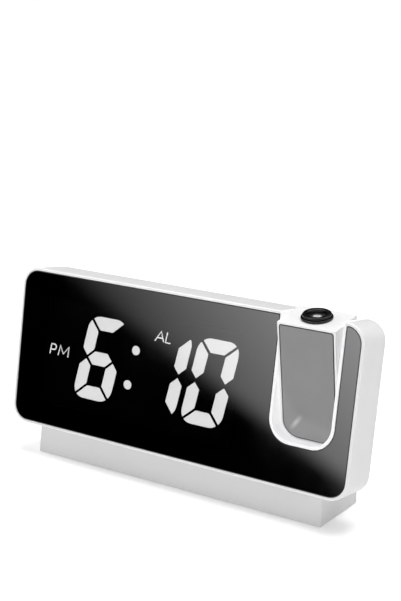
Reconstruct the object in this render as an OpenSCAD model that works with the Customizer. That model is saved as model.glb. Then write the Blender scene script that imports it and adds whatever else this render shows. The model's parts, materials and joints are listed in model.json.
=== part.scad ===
// Projection alarm clock: a one-way mirror case that leans back on a plinth, with a projector
// arm that swings in a slot near its right end.
//
// Row frame: millimetres, +Z up, the mirror faces -Y, and the origin lies on the table under the
// middle of the clock. Case frame: X right, Y behind the mirror's face, Z up that face, starting
// from the case's lower front edge. Arm frame: as the case frame, but centred on the arm's pivot.

/* [Case] */
// Width of the case
case_w = 185; // [160:1:230]
// Height of the case, along its leaning front
case_h = 77.3; // [72:0.1:95]
// Depth of the case, from its front face to its back face
case_d = 22; // [21:0.5:30]
// Thickness of the case's outer walls
case_wall = 1.6; // [1.4:0.1:2.4]
// Radius of the case's corners, seen from the front
case_corner_r = 9; // [5:0.5:12]
// Angle that the case leans back, in degrees
case_lean = 7.5; // [0:0.5:12]
// Height of the case's lower front edge above the table
case_lift = 15.8; // [14:0.1:25]
// Thickness of the rear cover
cover_t = 2; // [1.6:0.1:2.6]
// Gap round pieces that are fitted into each other and don't move
fit_gap = 0.1; // [0.05:0.01:0.2]

/* [Mirror] */
// Thickness of the mirror panel
mirror_t = 2; // [1.5:0.1:3]
// Width of the white rim round the mirror panel
mirror_rim = 1.35; // [1:0.05:1.6]
// Depth of the mirror panel's face behind the rim
mirror_recess = 0.15; // [0:0.05:0.5]
// Thickness of the web that the mirror panel is glued to
web_t = 1.4; // [1:0.1:2]
// Radius of the panel's corners where its notch opens at the top
notch_corner_r = 1.2; // [0.6:0.1:2]

/* [Display] */
// Width of a digit's upright outline
digit_w = 22.1; // [18:0.1:24]
// Height of a digit
digit_h = 40.6; // [36:0.1:46]
// Width of a segment's stroke
stroke = 6.5; // [4:0.1:7.5]
// Half of the gap between neighbouring segments
segment_gap = 0.9; // [0.4:0.05:1.2]
// Radius of a digit's outer corners
digit_corner = 6.4; // [4:0.1:8]
// Slant of the digits, in degrees
digit_slant = 9.9; // [0:0.1:12]
// Distance from one digit to the next
digit_pitch = 25.1; // [24.4:0.1:27]
// Extra distance between the hours and the minutes
colon_space = 11.8; // [9:0.1:15]
// Distance from the hours digit to the middle of the mirror's part left of the slot
digit_x = 37.65; // [33:0.05:40]
// Height of the digits' feet above the case's lower edge
digit_z = 18.4; // [15:0.1:22]
// Radius of the colon's dots
colon_r = 2.2; // [1.5:0.1:3]
// Depth of the reflector block with its light wells
reflector_d = 6.6; // [5:0.1:8]
// Depth of the light guides in the wells
guide_d = 2.4; // [1:0.1:3.5]
// Width of the small PM indicator
pm_w = 14.4; // [10:0.1:15]
// Width of the small AL indicator
al_w = 10.8; // [8:0.1:12]
// Height of both small indicators
indicator_h = 6.8; // [5:0.1:8]

/* [Projector arm] */
// Width of the arm
arm_w = 28; // [26:0.1:32]
// Thickness of the arm, front to back
arm_t = 20.6; // [19.6:0.1:20.8]
// Length of the arm above its pivot
arm_head = 22.1; // [21:0.1:26]
// Length of the arm below its pivot
arm_tail = 33.15; // [30:0.05:36]
// Radius of the arm's lower corners
arm_corner_r = 8.6; // [5:0.1:10]
// Wall thickness of the arm
arm_wall = 1.4; // [1:0.1:1.8]
// Angle that the arm is tilted forward from the case, in degrees
arm_tilt = 17.4; // [-90:0.1:90]
// Distance from the arm's middle to the case's right side
arm_inset = 25.1; // [24:0.1:30]
// Gap between the arm's sides and the cradle
side_gap = 0.4; // [0.2:0.05:0.8]
// Gap between the arm's lower edge and the cradle's floor as it swings past
swing_gap = 0.5; // [0.3:0.05:1]
// Wall thickness of the cradle
cradle_wall = 1.4; // [1:0.1:1.8]
// Width of the white rim round the arm's mirror plate
plate_rim = 0.85; // [0.6:0.05:1.5]
// Thickness of the arm's mirror plate
plate_t = 1; // [0.8:0.1:1.4]
// Radius of the mirror plate's upper corners
plate_corner_r = 1.2; // [0.5:0.1:2]
// Thickness of the arm's back cover
arm_cover_t = 1.8; // [1.4:0.1:2.2]

/* [Pivot] */
// Radius of the arm's two pivots
pivot_r = 3.2; // [2.8:0.1:3.6]
// Radius of the hole for the lead in the left pivot
pivot_hole_r = 2; // [1.6:0.1:2.2]
// Radial clearance of a piece that turns or slides in another
run_gap = 0.06; // [0.02:0.01:0.1]
// Length of the bosses that carry the pivots, outside the cradle's walls
boss_len = 2; // [2:0.1:2.8]
// Radius of those bosses
boss_r = 6.4; // [5.8:0.1:6.5]
// Angle that the arm can swing each way from the closed position, in degrees
swing_limit = 90; // [60:1:95]

/* [Lens] */
// Radius of the lens bezel's flange
bezel_r = 7.1; // [6.8:0.1:9]
// Thickness of that flange
bezel_t = 1.1; // [0.8:0.1:1.5]
// Radius of the focus ring where it stands above the flange
focus_r = 6.35; // [6:0.05:6.6]
// Height of the focus ring above the flange
focus_h = 1.15; // [1:0.05:3]
// Radius of the opening in the focus ring
lens_opening_r = 4.1; // [3:0.1:4.3]
// Travel of the lens cell each way
focus_travel = 0.8; // [0.4:0.1:0.8]

/* [Plinth] */
// Width of the plinth at its foot
base_w = 157.6; // [140:0.2:170]
// Depth of the plinth at its foot
base_d = 36; // [34:0.5:46]
// Distance of the plinth's front behind the case's lower front edge
base_setback = 5; // [3:0.1:8]
// Wall thickness of the plinth
base_wall = 2; // [1.6:0.1:2.6]
// Draft angle of the plinth's front and ends, in degrees
base_draft = 2.5; // [0:0.1:4]
// Radius of the plinth's upper rear edge
base_edge_r = 2.5; // [1:0.1:4]
// Thickness of the plinth's bottom plate
bottom_t = 2; // [1.6:0.1:2.4]
// Radius of the rubber feet
foot_r = 5; // [4:0.1:6]
// Height of the rubber feet below the bottom plate
foot_h = 0.3; // [0.2:0.1:1.5]

/* [Rear] */
// Radius of the push buttons
button_r = 3.5; // [3:0.1:4.2]
// Distance from one push button to the next
button_pitch = 15; // [12:0.1:16]
// Height of the push buttons above the rear cover
button_proud = 1.2; // [0.8:0.1:2]
// Travel of the push buttons
button_travel = 0.6; // [0.3:0.05:0.8]
// Radius of the turning battery cap
cap_r = 12.5; // [12:0.1:13.5]
// Radius of the coin cell
cell_r = 10; // [9.8:0.1:10.2]
// Thickness of the coin cell
cell_t = 3.2; // [2.4:0.1:3.2]
// Width of the power socket's mouth
usb_w = 8.34; // [8:0.02:8.6]
// Height of the power socket's mouth
usb_h = 2.6; // [2.4:0.02:2.8]

/* [Hidden] */
$fn = 96;
EPS = 0.5;

// Colours
WHITE = [0.93, 0.93, 0.93];
BLACK = [0.06, 0.06, 0.07];
SMOKE = [0.1, 0.1, 0.11];
LIT = [0.95, 0.95, 0.95];
BOARD = [0.1, 0.35, 0.2];
STEEL = [0.75, 0.76, 0.78];
BRASS = [0.8, 0.65, 0.3];
GLASS = [0.75, 0.85, 0.9, 0.5];
RUBBER = [0.15, 0.15, 0.15];

// Where the case frame lies
total_d = base_setback + base_d;
front_y = -total_d / 2;
left_x = -case_w / 2;

// Depths inside the case
seat_y = mirror_recess + mirror_t;
web_y = seat_y + web_t;
cover_y = case_d - cover_t;
board_t = 1.6;
board_y = seat_y + reflector_d;
board_back = board_y + board_t;

// Arm and cradle
arm_x = case_w / 2 - arm_inset;
pivot_y = arm_t / 2;
pivot_z = case_h - arm_head;
swing_r = norm([arm_tail, arm_t / 2]) + swing_gap;
slot_half = arm_w / 2 + side_gap;
shoulder_r = arm_corner_r + side_gap;
cradle_half = slot_half + cradle_wall;
ear_t = 2;
ear_y = 12;
ear_post_r = 2.4;
ear_reach = 4.4;
ear_top_gap = 1.2;
ear_x = arm_x - cradle_half - ear_reach;
ear_z = case_h - case_wall - ear_post_r - ear_top_gap;
heel_z = pivot_z - swing_r - cradle_wall - ear_reach;

// Middle of the mirror's part left of the slot, which the display and the boards are centred on
face_mid = (left_x + arm_x - cradle_half) / 2;

// Display
digit_cells = [for (shift = [0, digit_pitch + colon_space, 2 * digit_pitch + colon_space])
    face_mid - digit_x + shift];
// Segments from A, the top one, round to F, and G across the middle
digit_segments = [[0, 2, 3, 4, 5, 6], [1, 2], [0, 1, 2, 3, 4, 5]];
colon_shift = 0.4;
colon_drop = 0.7;
colon_half = 8.45;
colon_x = (digit_cells[0] + digit_w + digit_cells[1]) / 2 + colon_shift;
colon_mid = digit_z + digit_h / 2 - colon_drop;
colon_z = [colon_mid - colon_half, colon_mid + colon_half];
pm_gap = 2.5;
pm_at = [digit_cells[0] - pm_gap - pm_w / 2, digit_z + digit_h / 2];
al_shift = 12.6;
al_drop = 0.3;
al_at = [digit_cells[1] + al_shift, digit_z + digit_h - al_drop - indicator_h / 2];
// Angle from a corner's diagonal to the ends of the two segments that meet there
corner_cut = asin(segment_gap / (sqrt(2) * digit_corner));
corner_steps = 5;

// Reflector block and the board behind it, round the digits and the marks
reflector_side = 0.6;
reflector_low = 6.6;
reflector_high = 6;
reflector_x0 = pm_at[0] - pm_w / 2 - reflector_side;
reflector_x1 = digit_cells[2] + digit_w + digit_h * tan(digit_slant) + reflector_side;
reflector_z0 = digit_z - reflector_low;
reflector_z1 = digit_z + digit_h + reflector_high;
led_w = 2;
led_h = 1.2;
led_t = 0.8;

// Pivots, counted outwards from the arm's middle
arm_inner = arm_w / 2 - arm_wall;
boss_end = cradle_half + boss_len;
washer_t = 0.5;
clip_t = 0.6;
clip_x = boss_end + washer_t + fit_gap;
pin_tip = 0.5;
pivot_end = clip_x + clip_t + pin_tip;
groove_deep = 0.5;
groove_r = pivot_r - groove_deep;
pivot_head_out = 1.8;
pivot_head_r = pivot_r + pivot_head_out;
pivot_head_t = 1.2;
clip_in = 0.3;
clip_r = pivot_head_r - clip_in;
stop_pin_r = 0.7;
stop_pin_in = 1.1;
stop_pin_at = boss_r - stop_pin_in;
stop_pin_half = asin(stop_pin_r / stop_pin_at);
stop_margin = 2;
half_turn = 180;
cam_half = half_turn - swing_limit - stop_pin_half - stop_margin;
cam_r = boss_r - fit_gap;
cam_hub_t = 0.9;

// Optics, along the arm's own upward axis
arm_top = arm_head;
sleeve_in = 0.45;
sleeve_r = focus_r - sleeve_in;
sleeve_t = 0.6;
sleeve_len = 6;
sleeve_z = arm_top - sleeve_len;
skirt_r = sleeve_r - sleeve_t - run_gap;
skirt_t = 0.6;
skirt_end = 1;
ring_z = arm_top + bezel_t + fit_gap;
ring_top = ring_z + focus_h;
ring_lip = 0.6;
cell_outer_r = skirt_r - skirt_t - run_gap;
cell_gap = 0.2;
cell_top = ring_top - ring_lip - focus_travel - cell_gap;
cell_len = 5;
cell_wall = 0.9;
lens_r = cell_outer_r - cell_wall;
lens_lip = 0.8;
lens_deep = 1.4;
lens_seat_z = cell_top - lens_deep;
lens_t = 2.2;
lens_curve_r = 8;
tube_r = 7;
tube_wall = 1.4;
tube_gap = 1.2;
tube_top = sleeve_z - tube_gap;
tube_bottom = -9;
shoulder_z = 0;
shoulder_t = 2;
shoulder_in = 1.4;
shoulder_hole_r = tube_r - tube_wall - shoulder_in;
lcd_size = 7.6;
lcd_t = 1.1;
condenser_t = 3.4;
led_board_t = 1.2;
led_board_w = 22;
led_board_d = 14;
led_collar_r = 2.5;
led_collar_h = 2;
led_dome_r = 2;
lead_r = 1;
lead_out = 2.2;
lead_x = -tube_r - lead_out;
lead_hole_gap = 0.4;
rib_t = 1.4;
rib_low = 1.5;
rib_high = 4.5;
rib_z = [tube_bottom + rib_low, tube_top - rib_high];

// Rear of the case
last_button = 5;
button_x0 = face_mid - last_button * button_pitch / 2;
button_x1 = face_mid + last_button * button_pitch / 2;
button_drop = 14;
button_z = case_h - button_drop;
button_gap = 0.05;
flange_t = 0.95;
flange_out = 1.1;
flange_r = button_r + flange_out;
stem_r = 1.5;
stem_len = 3.1;
stem_y = cover_y - stem_len;
button_board_t = 1.2;
button_board_half = 3.7;
plunger_y = stem_y - button_travel - button_gap;
plunger_r = 1.7;
plunger_h = 0.35;
switch_h = 3.2;
switch_w = 6;
button_board_y = plunger_y - plunger_h - switch_h - button_board_t;
button_board_end = 11;
button_post_end = 8;
button_board_x = [button_x0 - button_board_end, button_x1 + button_board_end];
button_post_x = [button_x0 - button_post_end, button_x1 + button_post_end];
header_pins = 5;
header_pitch = 1.25;
header_pin_w = 0.6;
// Middle of the stretch that both boards cover
header_z = (button_z - button_board_half + min(reflector_z1, button_z + button_board_half)) / 2;
post_hole_in = 1;
cap_shift = 42;
cap_x = face_mid + cap_shift;
cap_z = 32;
lug_out = 1.2;
lug_r = cap_r + lug_out;
lug_t = 1.2;
lug_w = 7;
cap_turn = 45;
cap_flange_out = 2;
cap_flange_r = cap_r + cap_flange_out;
cap_flange_t = 0.9;
cap_slot_w = 14;
cap_slot_h = 1.8;
cap_slot_deep = 1;
notch_gap = 0.4;
well_gap = 0.4;
well_r = lug_r + well_gap;
well_wall = 1.3;
well_deep = 6.3;
well_floor_y = cover_y - well_deep;
contact_t = 0.3;
contact_w = 16;
contact_h = 4;
cell_y = well_floor_y + 2 * contact_t;
cell_step_r = 0.8;
cell_step_t = 0.3;
cell_press_in = 2;
cell_side_gap = 0.2;
usb_x = face_mid;
usb_z = 21;
usb_shell = 0.35;
usb_deep = 6.4;
usb_front = cover_y - usb_deep;
usb_floor = 1;
usb_recess = 0.4;
inlet_gap = 0.3;
tongue_w = 6.6;
tongue_t = 0.7;
tongue_recess = 1.6;
power_board_t = 1.2;
power_post_dx = 9;
power_board_w = 24;
power_board_h = 11;
power_lead_r = 0.8;
power_lead_in = 4;
power_lead_at = [usb_x - power_lead_in, usb_z + power_lead_in];
buzzer_shift = 32;
buzzer_x = face_mid - buzzer_shift;
buzzer_z = 30;
buzzer_r = 6;
buzzer_h = 5;
buzzer_hole_r = 1;
buzzer_hole_deep = 2;
sound_hole_r = 0.8;
sound_ring_r = 3;
chip_shift = 2;
chip_x = face_mid - chip_shift;
chip_z = 41;
chip_half = 5;
chip_t = 1.6;
chip_gap = 0.1;
last_leg = 4;
leg_pitch = 1;
leg_w = 0.4;
leg_t = 0.6;
leg_len = 0.9;
crystal_shift = 14;
crystal_x = chip_x + crystal_shift;
crystal_r = 1.5;
crystal_len = 8;
socket_w = 8;
socket_h = 6;
socket_d = 4.4;
socket_in = 12;
lead_socket_x = reflector_x1 - socket_in;
lead_socket_y = board_back + socket_d / 2;
lead_bend_gap = 0.4;
lead_bend_x = arm_x - pivot_end - lead_r - lead_bend_gap;
// Shares of a screw head's radius that its cross slot takes
slot_w_share = 0.28;
slot_len_share = 1.2;
head_gap = 0.3;
hole_floor = 1;
board_screw_len = 5;
case_screw_len = 10;
cradle_screw_len = 7;
arm_screw_len = 7;
base_screw_len = 4.5;
screw_r = 1.3;
screw_head_r = 2.4;
screw_head_t = 1.2;
post_r = 2.6;
small_post_r = 2.1;
small_screw_r = 0.9;
small_head_r = 1.7;
small_head_t = 0.8;

// Screw posts between the front housing and the rear cover, at the case's corners
corner_post_in = 5.9;
corner_in = case_wall + corner_post_in;
right_post_in = 3.8;
slot_post_dx = 12;
case_post_at = [
    [left_x + corner_in, corner_in],
    [left_x + corner_in, case_h - corner_in],
    [-left_x - corner_in, corner_in],
    [-left_x - case_wall - right_post_in, case_h - corner_in],
    [arm_x - cradle_half - slot_post_dx, case_h - corner_in]
];
cradle_post_at = [[ear_x, ear_z], [arm_x, heel_z]];
stand_x = 40;
stand_back = 1.5;
stand_y = case_d / 2 + stand_back;
stand_post_r = 3;
stand_post_h = 9;
stand_screw_end = 2;

// Plinth
base_y0 = front_y + base_setback;
base_y1 = base_y0 + base_d;
floor_z = foot_h;
inside_z = floor_z + bottom_t;
bottom_gap = 0.4;
foot_in = 8;
foot_end_in = 9;
foot_sink = 0.5;
base_post_in = 7;
base_post_dx = 20;
base_post_r = 3;
base_post_h = 5;
ballast_end_gap = 2.8;
ballast_back = 1;
ballast_w = base_w - 2 * (base_post_dx + base_post_r + ballast_end_gap);
ballast_d = 22;
ballast_t = 3.5;
ballast_y = (base_y0 + base_y1) / 2 + ballast_back;

// ---- Helpers ---------------------------------------------------------------------------------

// Draws in the frame of the leaning case
module in_case() {
    translate([0, front_y, case_lift]) rotate([-case_lean, 0, 0]) children();
}

// Draws in the frame of the arm at its pivot, tilted with it
module in_arm() {
    in_case() translate([arm_x, pivot_y, pivot_z]) rotate([arm_tilt, 0, 0]) children();
}

// Extrudes an outline of X and Z from depth y0 to depth y1
module plate(y0, y1) {
    translate([0, y1, 0]) rotate([90, 0, 0]) linear_extrude(y1 - y0) children();
}

// A box between two corners
module block(low, high) {
    translate(low) cube(high - low);
}

// A round bar along Y
module bar_y(x, z, r, y0, y1) {
    translate([x, y0, z]) rotate([-90, 0, 0]) cylinder(r = r, h = y1 - y0);
}

// A round bar along X, on the axis
module bar_x(x0, x1, r) {
    translate([x0, 0, 0]) rotate([0, 90, 0]) cylinder(r = r, h = x1 - x0);
}

// A round bar along Z, on the axis
module bar_z(z0, z1, r) {
    translate([0, 0, z0]) cylinder(r = r, h = z1 - z0);
}

module rounded_rect(w, h, r) {
    square([w - 2 * r, h], center = true);
    square([w, h - 2 * r], center = true);
    for (sx = [-1, 1], sy = [-1, 1])
        translate([sx * (w / 2 - r), sy * (h / 2 - r)]) circle(r);
}

module stadium(w, h) {
    square([w - h, h], center = true);
    for (s = [-1, 1]) translate([s * (w - h) / 2, 0]) circle(h / 2);
}

// A round wire through a list of points
module wire(points, r) {
    for (i = [0 : len(points) - 2]) {
        d = points[i + 1] - points[i];
        translate(points[i])
            rotate([0, acos(d[2] / norm(d)), atan2(d[1], d[0])])
                cylinder(r = r, h = norm(d));
    }
    for (i = [1 : len(points) - 2]) translate(points[i]) sphere(r);
}

// A cross-slotted screw along Z: its head stands on 0 and its shank runs down
module screw(head_r, head_t, shank_r, length) {
    slot_w = slot_w_share * head_r;
    slot_len = slot_len_share * head_r;
    difference() {
        union() {
            bar_z(0, head_t, head_r);
            bar_z(-length, 0, shank_r);
        }
        for (a = [0, 90]) rotate([0, 0, a])
            translate([0, 0, head_t]) cube([slot_len, slot_w, head_t], center = true);
    }
}

// A screw that is driven from behind, with its head's lower face at depth y
module screw_from_rear(x, z, y, head_r, head_t, shank_r, length) {
    translate([x, y, z]) rotate([-90, 0, 0]) screw(head_r, head_t, shank_r, length);
}

// ---- Outlines and spaces ---------------------------------------------------------------------

module case_outline(inset) {
    translate([0, case_h / 2])
        rounded_rect(case_w - 2 * inset, case_h - 2 * inset, case_corner_r - inset);
}

// The space that the arm sweeps, as a disc about its pivot with round shoulders
module swing_space(grow) {
    r = swing_r + grow;
    half = slot_half + grow;
    s = shoulder_r + grow;
    translate([arm_x, pivot_y, pivot_z]) rotate([0, 90, 0]) rotate_extrude() {
        translate([0, -half]) square([r - s, 2 * half]);
        translate([0, -half + s]) square([r, 2 * (half - s)]);
        for (side = [-1, 1]) intersection() {
            translate([r - s, side * (half - s)]) circle(s);
            translate([0, -half]) square([r, 2 * half]);
        }
    }
}

module arm_outline(inset, top_r) {
    half = arm_w / 2 - inset;
    low = -arm_tail + inset;
    r = arm_corner_r - inset;
    top = arm_head - inset;
    translate([-half, low + r]) square([2 * half, top - top_r - low - r]);
    translate([-half + r, low]) square([2 * (half - r), r]);
    for (side = [-1, 1]) translate([side * (half - r), low + r]) circle(r);
    if (top_r > 0) {
        translate([-half + top_r, top - top_r]) square([2 * (half - top_r), top_r]);
        for (side = [-1, 1]) translate([side * (half - top_r), top - top_r]) circle(top_r);
    }
}

// ---- Display shapes --------------------------------------------------------------------------

function slant(p) = [p[0] + p[1] * tan(digit_slant), p[1]];
function flip_x(points) = [for (p = points) [digit_w - p[0], p[1]]];
function flip_z(points) = [for (p = points) [p[0], digit_h - p[1]]];

// Points of a digit's upper left corner, between two angles that rise from its left side
function corner_arc(start, end) = let (r = digit_corner) [
    for (i = [0 : corner_steps]) let (a = start + (end - start) * i / corner_steps)
        [r * (1 - cos(a)), digit_h - r * (1 - sin(a))]];
function top_bar() = let (q = segment_gap, s = stroke, h = digit_h, w = digit_w,
    rise = corner_arc(45 + corner_cut, 90), fall = flip_x(corner_arc(90, 45 + corner_cut)))
    concat(rise, fall, [[w - s - q, h - s], [s + q, h - s]]);
function side_bar() = let (q = segment_gap, s = stroke, h = digit_h, m = digit_h / 2)
    concat(corner_arc(45 - corner_cut, 0), [[0, m + s / 2 + q], [s / 2, m + q],
        [s, m + s / 2 + q], [s, h - s - q]]);
function middle_bar() = let (q = segment_gap, s = stroke, w = digit_w, m = digit_h / 2) [
    [s / 2 + q, m], [s + q, m + s / 2], [w - s - q, m + s / 2], [w - s / 2 - q, m],
    [w - s - q, m - s / 2], [s + q, m - s / 2]];
function segment_points(k) = [
    top_bar(), flip_x(side_bar()), flip_x(flip_z(side_bar())), flip_z(top_bar()),
    flip_z(side_bar()), side_bar(), middle_bar()][k];
// Middle of each segment, where its light source sits
function segment_middle(k) = let (s = stroke / 2, w = digit_w, h = digit_h) [
    [w / 2, h - s], [w - s, 3 * h / 4], [w - s, h / 4], [w / 2, s],
    [s, h / 4], [s, 3 * h / 4], [w / 2, h / 2]][k];
// Middle of each of the colon's dots
colon_at = [for (z = colon_z) [colon_x + (z - digit_z) * tan(digit_slant), z]];

module lit_outlines() {
    for (i = [0 : 2], k = digit_segments[i])
        translate([digit_cells[i], digit_z]) polygon([for (p = segment_points(k)) slant(p)]);
    for (p = colon_at) translate(p) circle(colon_r);
}

module indicator_outlines() {
    translate(pm_at) square([pm_w, indicator_h], center = true);
    translate(al_at) square([al_w, indicator_h], center = true);
}

// ---- Case ------------------------------------------------------------------------------------

module front_housing() color(WHITE) in_case() difference() {
    union() {
        difference() {
            plate(0, case_d) case_outline(0);
            plate(-EPS, seat_y) case_outline(mirror_rim);
            plate(web_y, case_d + EPS) case_outline(case_wall);
        }
        for (p = case_post_at) bar_y(p[0], p[1], post_r, web_y - EPS, cover_y);
        for (p = cradle_post_at) bar_y(p[0], p[1], ear_post_r, web_y - EPS, ear_y);
        for (side = [-1, 1]) translate([side * stand_x, stand_y, 0])
            bar_z(case_wall / 2, stand_post_h, stand_post_r);
    }
    block([reflector_x0 - fit_gap, seat_y - EPS, reflector_z0 - fit_gap],
        [reflector_x1 + fit_gap, web_y + EPS, reflector_z1 + fit_gap]);
    swing_space(cradle_wall + fit_gap);
    for (p = case_post_at) bar_y(p[0], p[1], screw_r + fit_gap, web_y, cover_y + EPS);
    for (p = cradle_post_at) bar_y(p[0], p[1], screw_r + fit_gap, web_y, ear_y + EPS);
    for (side = [-1, 1]) translate([side * stand_x, stand_y, 0])
        bar_z(-EPS, stand_post_h - hole_floor, screw_r + fit_gap);
}

module mirror_panel() color(SMOKE) in_case() difference() {
    plate(mirror_recess, seat_y) difference() {
        case_outline(mirror_rim + fit_gap);
        for (side = [-1, 1]) notch_corner(side);
    }
    swing_space(cradle_wall + fit_gap);
}

// What rounds the panel's corner at one side of the notch
module notch_corner(side) {
    r = notch_corner_r;
    edge = arm_x + side * (cradle_half + fit_gap);
    top = case_h - mirror_rim - fit_gap;
    difference() {
        translate([edge + (side - 1) * r / 2, top - r]) square([r, r + EPS]);
        translate([edge + side * r, top - r]) circle(r);
    }
}

module rear_cover() color(WHITE) in_case() difference() {
    union() {
        plate(cover_y, case_d) case_outline(case_wall + fit_gap);
        bar_y(cap_x, cap_z, well_r + well_wall, well_floor_y - well_wall, cover_y + EPS);
        for (x = button_post_x)
            bar_y(x, button_z, small_post_r, button_board_y + button_board_t, cover_y + EPS);
        for (side = [-1, 1])
            bar_y(usb_x + side * power_post_dx, usb_z, small_post_r, usb_front, cover_y + EPS);
    }
    swing_space(cradle_wall + fit_gap);
    bar_y(cap_x, cap_z, cap_r + run_gap, cover_y - EPS, case_d + EPS);
    bar_y(cap_x, cap_z, cap_flange_r + run_gap, case_d - cap_flange_t, case_d + EPS);
    bar_y(cap_x, cap_z, well_r, well_floor_y, cover_y);
    // Two notches that let the cap's lugs in when it is turned back
    plate(cover_y - EPS, case_d) translate([cap_x, cap_z]) rotate(-cap_turn) intersection() {
        circle(well_r);
        square([lug_w + 2 * notch_gap, 2 * well_r + EPS], center = true);
    }
    for (i = [0 : last_button])
        bar_y(button_x0 + i * button_pitch, button_z, button_r + run_gap, cover_y - EPS, case_d + EPS);
    plate(cover_y - EPS, case_d + EPS) translate([usb_x, usb_z])
        stadium(usb_w + 2 * (usb_shell + inlet_gap), usb_h + 2 * (usb_shell + inlet_gap));
    for (a = [0 : 60 : 300])
        bar_y(buzzer_x + sound_ring_r * cos(a), buzzer_z + sound_ring_r * sin(a), sound_hole_r,
            cover_y - EPS, case_d + EPS);
    bar_y(buzzer_x, buzzer_z, sound_hole_r, cover_y - EPS, case_d + EPS);
    for (p = case_post_at) {
        bar_y(p[0], p[1], screw_r + fit_gap, cover_y - EPS, case_d + EPS);
        bar_y(p[0], p[1], screw_head_r + head_gap, case_d - screw_head_t, case_d + EPS);
    }
    for (x = button_post_x)
        bar_y(x, button_z, small_screw_r + fit_gap, button_board_y, cover_y + post_hole_in);
    for (side = [-1, 1]) bar_y(usb_x + side * power_post_dx, usb_z, small_screw_r + fit_gap,
        usb_front - EPS, cover_y + post_hole_in);
}

module case_screws() color(STEEL) in_case() {
    for (p = case_post_at) screw_from_rear(p[0], p[1], case_d - screw_head_t, screw_head_r,
        screw_head_t - fit_gap, screw_r, case_screw_len);
}

// ---- Display ---------------------------------------------------------------------------------

module segment_reflector() color(BLACK) in_case() difference() {
    block([reflector_x0, seat_y, reflector_z0], [reflector_x1, board_y, reflector_z1]);
    plate(seat_y - EPS, board_y + EPS) {
        lit_outlines();
        indicator_outlines();
    }
}

module lit_segments() color(LIT) in_case() plate(seat_y, seat_y + guide_d) lit_outlines();

module indicator_guides() color(LIT) in_case() plate(seat_y, seat_y + guide_d) indicator_outlines();

module main_board() color(BOARD) in_case() {
    block([reflector_x0, board_y, reflector_z0], [reflector_x1, board_back, reflector_z1]);
}

module led(p) {
    block([p[0] - led_w / 2, board_y - led_t, p[1] - led_h / 2],
        [p[0] + led_w / 2, board_y, p[1] + led_h / 2]);
}

module segment_leds() color(LIT) in_case() {
    for (i = [0 : 2], k = digit_segments[i])
        led([digit_cells[i], digit_z] + slant(segment_middle(k)));
    for (p = colon_at) led(p);
    led(pm_at);
    led(al_at);
}

// The chip's body, with a row of nine legs along each side
module controller_chip() color(BLACK) in_case() {
    block([chip_x - chip_half, board_back + chip_gap, chip_z - chip_half],
        [chip_x + chip_half, board_back + chip_t, chip_z + chip_half]);
    translate([chip_x, board_back, chip_z])
        for (a = [0 : 90 : 270], i = [-last_leg : last_leg]) rotate([0, a, 0])
            block([i * leg_pitch - leg_w / 2, 0, chip_half],
                [i * leg_pitch + leg_w / 2, leg_t, chip_half + leg_len]);
}

module clock_crystal() color(STEEL) in_case()
    translate([crystal_x, board_back + crystal_r, chip_z - crystal_len / 2])
        cylinder(r = crystal_r, h = crystal_len);

module buzzer() color(BLACK) in_case() difference() {
    bar_y(buzzer_x, buzzer_z, buzzer_r, board_back, board_back + buzzer_h);
    bar_y(buzzer_x, buzzer_z, buzzer_hole_r, board_back + buzzer_h - buzzer_hole_deep,
        board_back + buzzer_h + EPS);
}

module lead_socket() color(WHITE) in_case() difference() {
    block([lead_socket_x - socket_w / 2, board_back, pivot_z - socket_h / 2],
        [lead_socket_x + socket_w / 2, board_back + socket_d, pivot_z + socket_h / 2]);
    translate([lead_socket_x, lead_socket_y, pivot_z]) bar_x(0, socket_w, lead_r + fit_gap);
}

// ---- Buttons and power -----------------------------------------------------------------------

module button_board() color(BOARD) in_case() difference() {
    block([button_board_x[0], button_board_y, button_z - button_board_half],
        [button_board_x[1], button_board_y + button_board_t, button_z + button_board_half]);
    for (x = button_post_x) bar_y(x, button_z, small_screw_r + fit_gap,
        button_board_y - EPS, button_board_y + button_board_t + EPS);
}

// Pins that join the button board to the main board in front of it
module board_header() color(BRASS) in_case() for (i = [0 : header_pins - 1]) {
    x = face_mid + (i - (header_pins - 1) / 2) * header_pitch;
    block([x - header_pin_w / 2, board_back, header_z - header_pin_w / 2],
        [x + header_pin_w / 2, button_board_y, header_z + header_pin_w / 2]);
}

module tact_switches() color(SMOKE) in_case() for (i = [0 : last_button]) {
    x = button_x0 + i * button_pitch;
    low = button_board_y + button_board_t;
    block([x - switch_w / 2, low, button_z - switch_w / 2],
        [x + switch_w / 2, low + switch_h, button_z + switch_w / 2]);
    bar_y(x, button_z, plunger_r, low + switch_h - EPS, plunger_y);
}

// One push button: its cap, its flange behind the cover, and the stem that meets the switch
module push_button(i) color(WHITE) in_case() {
    x = button_x0 + i * button_pitch;
    flange_y = cover_y - flange_t - button_gap;
    bar_y(x, button_z, button_r, flange_y + EPS, case_d + button_proud);
    bar_y(x, button_z, flange_r, flange_y, flange_y + flange_t);
    bar_y(x, button_z, stem_r, stem_y, flange_y + EPS);
}

module mode_button() push_button(0);
module alarm_button() push_button(1);
module up_button() push_button(2);
module down_button() push_button(3);
module light_button() push_button(4);
module projector_button() push_button(5);

module power_board() color(BOARD) in_case() difference() {
    block([usb_x - power_board_w / 2, usb_front - power_board_t, usb_z - power_board_h / 2],
        [usb_x + power_board_w / 2, usb_front, usb_z + power_board_h / 2]);
    for (side = [-1, 1]) bar_y(usb_x + side * power_post_dx, usb_z, small_screw_r + fit_gap,
        usb_front - power_board_t - EPS, usb_front + EPS);
}

module usb_socket() color(STEEL) in_case() difference() {
    plate(usb_front, case_d - usb_recess) translate([usb_x, usb_z])
        stadium(usb_w + 2 * usb_shell, usb_h + 2 * usb_shell);
    plate(usb_front + usb_floor, case_d) translate([usb_x, usb_z]) stadium(usb_w, usb_h);
}

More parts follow.
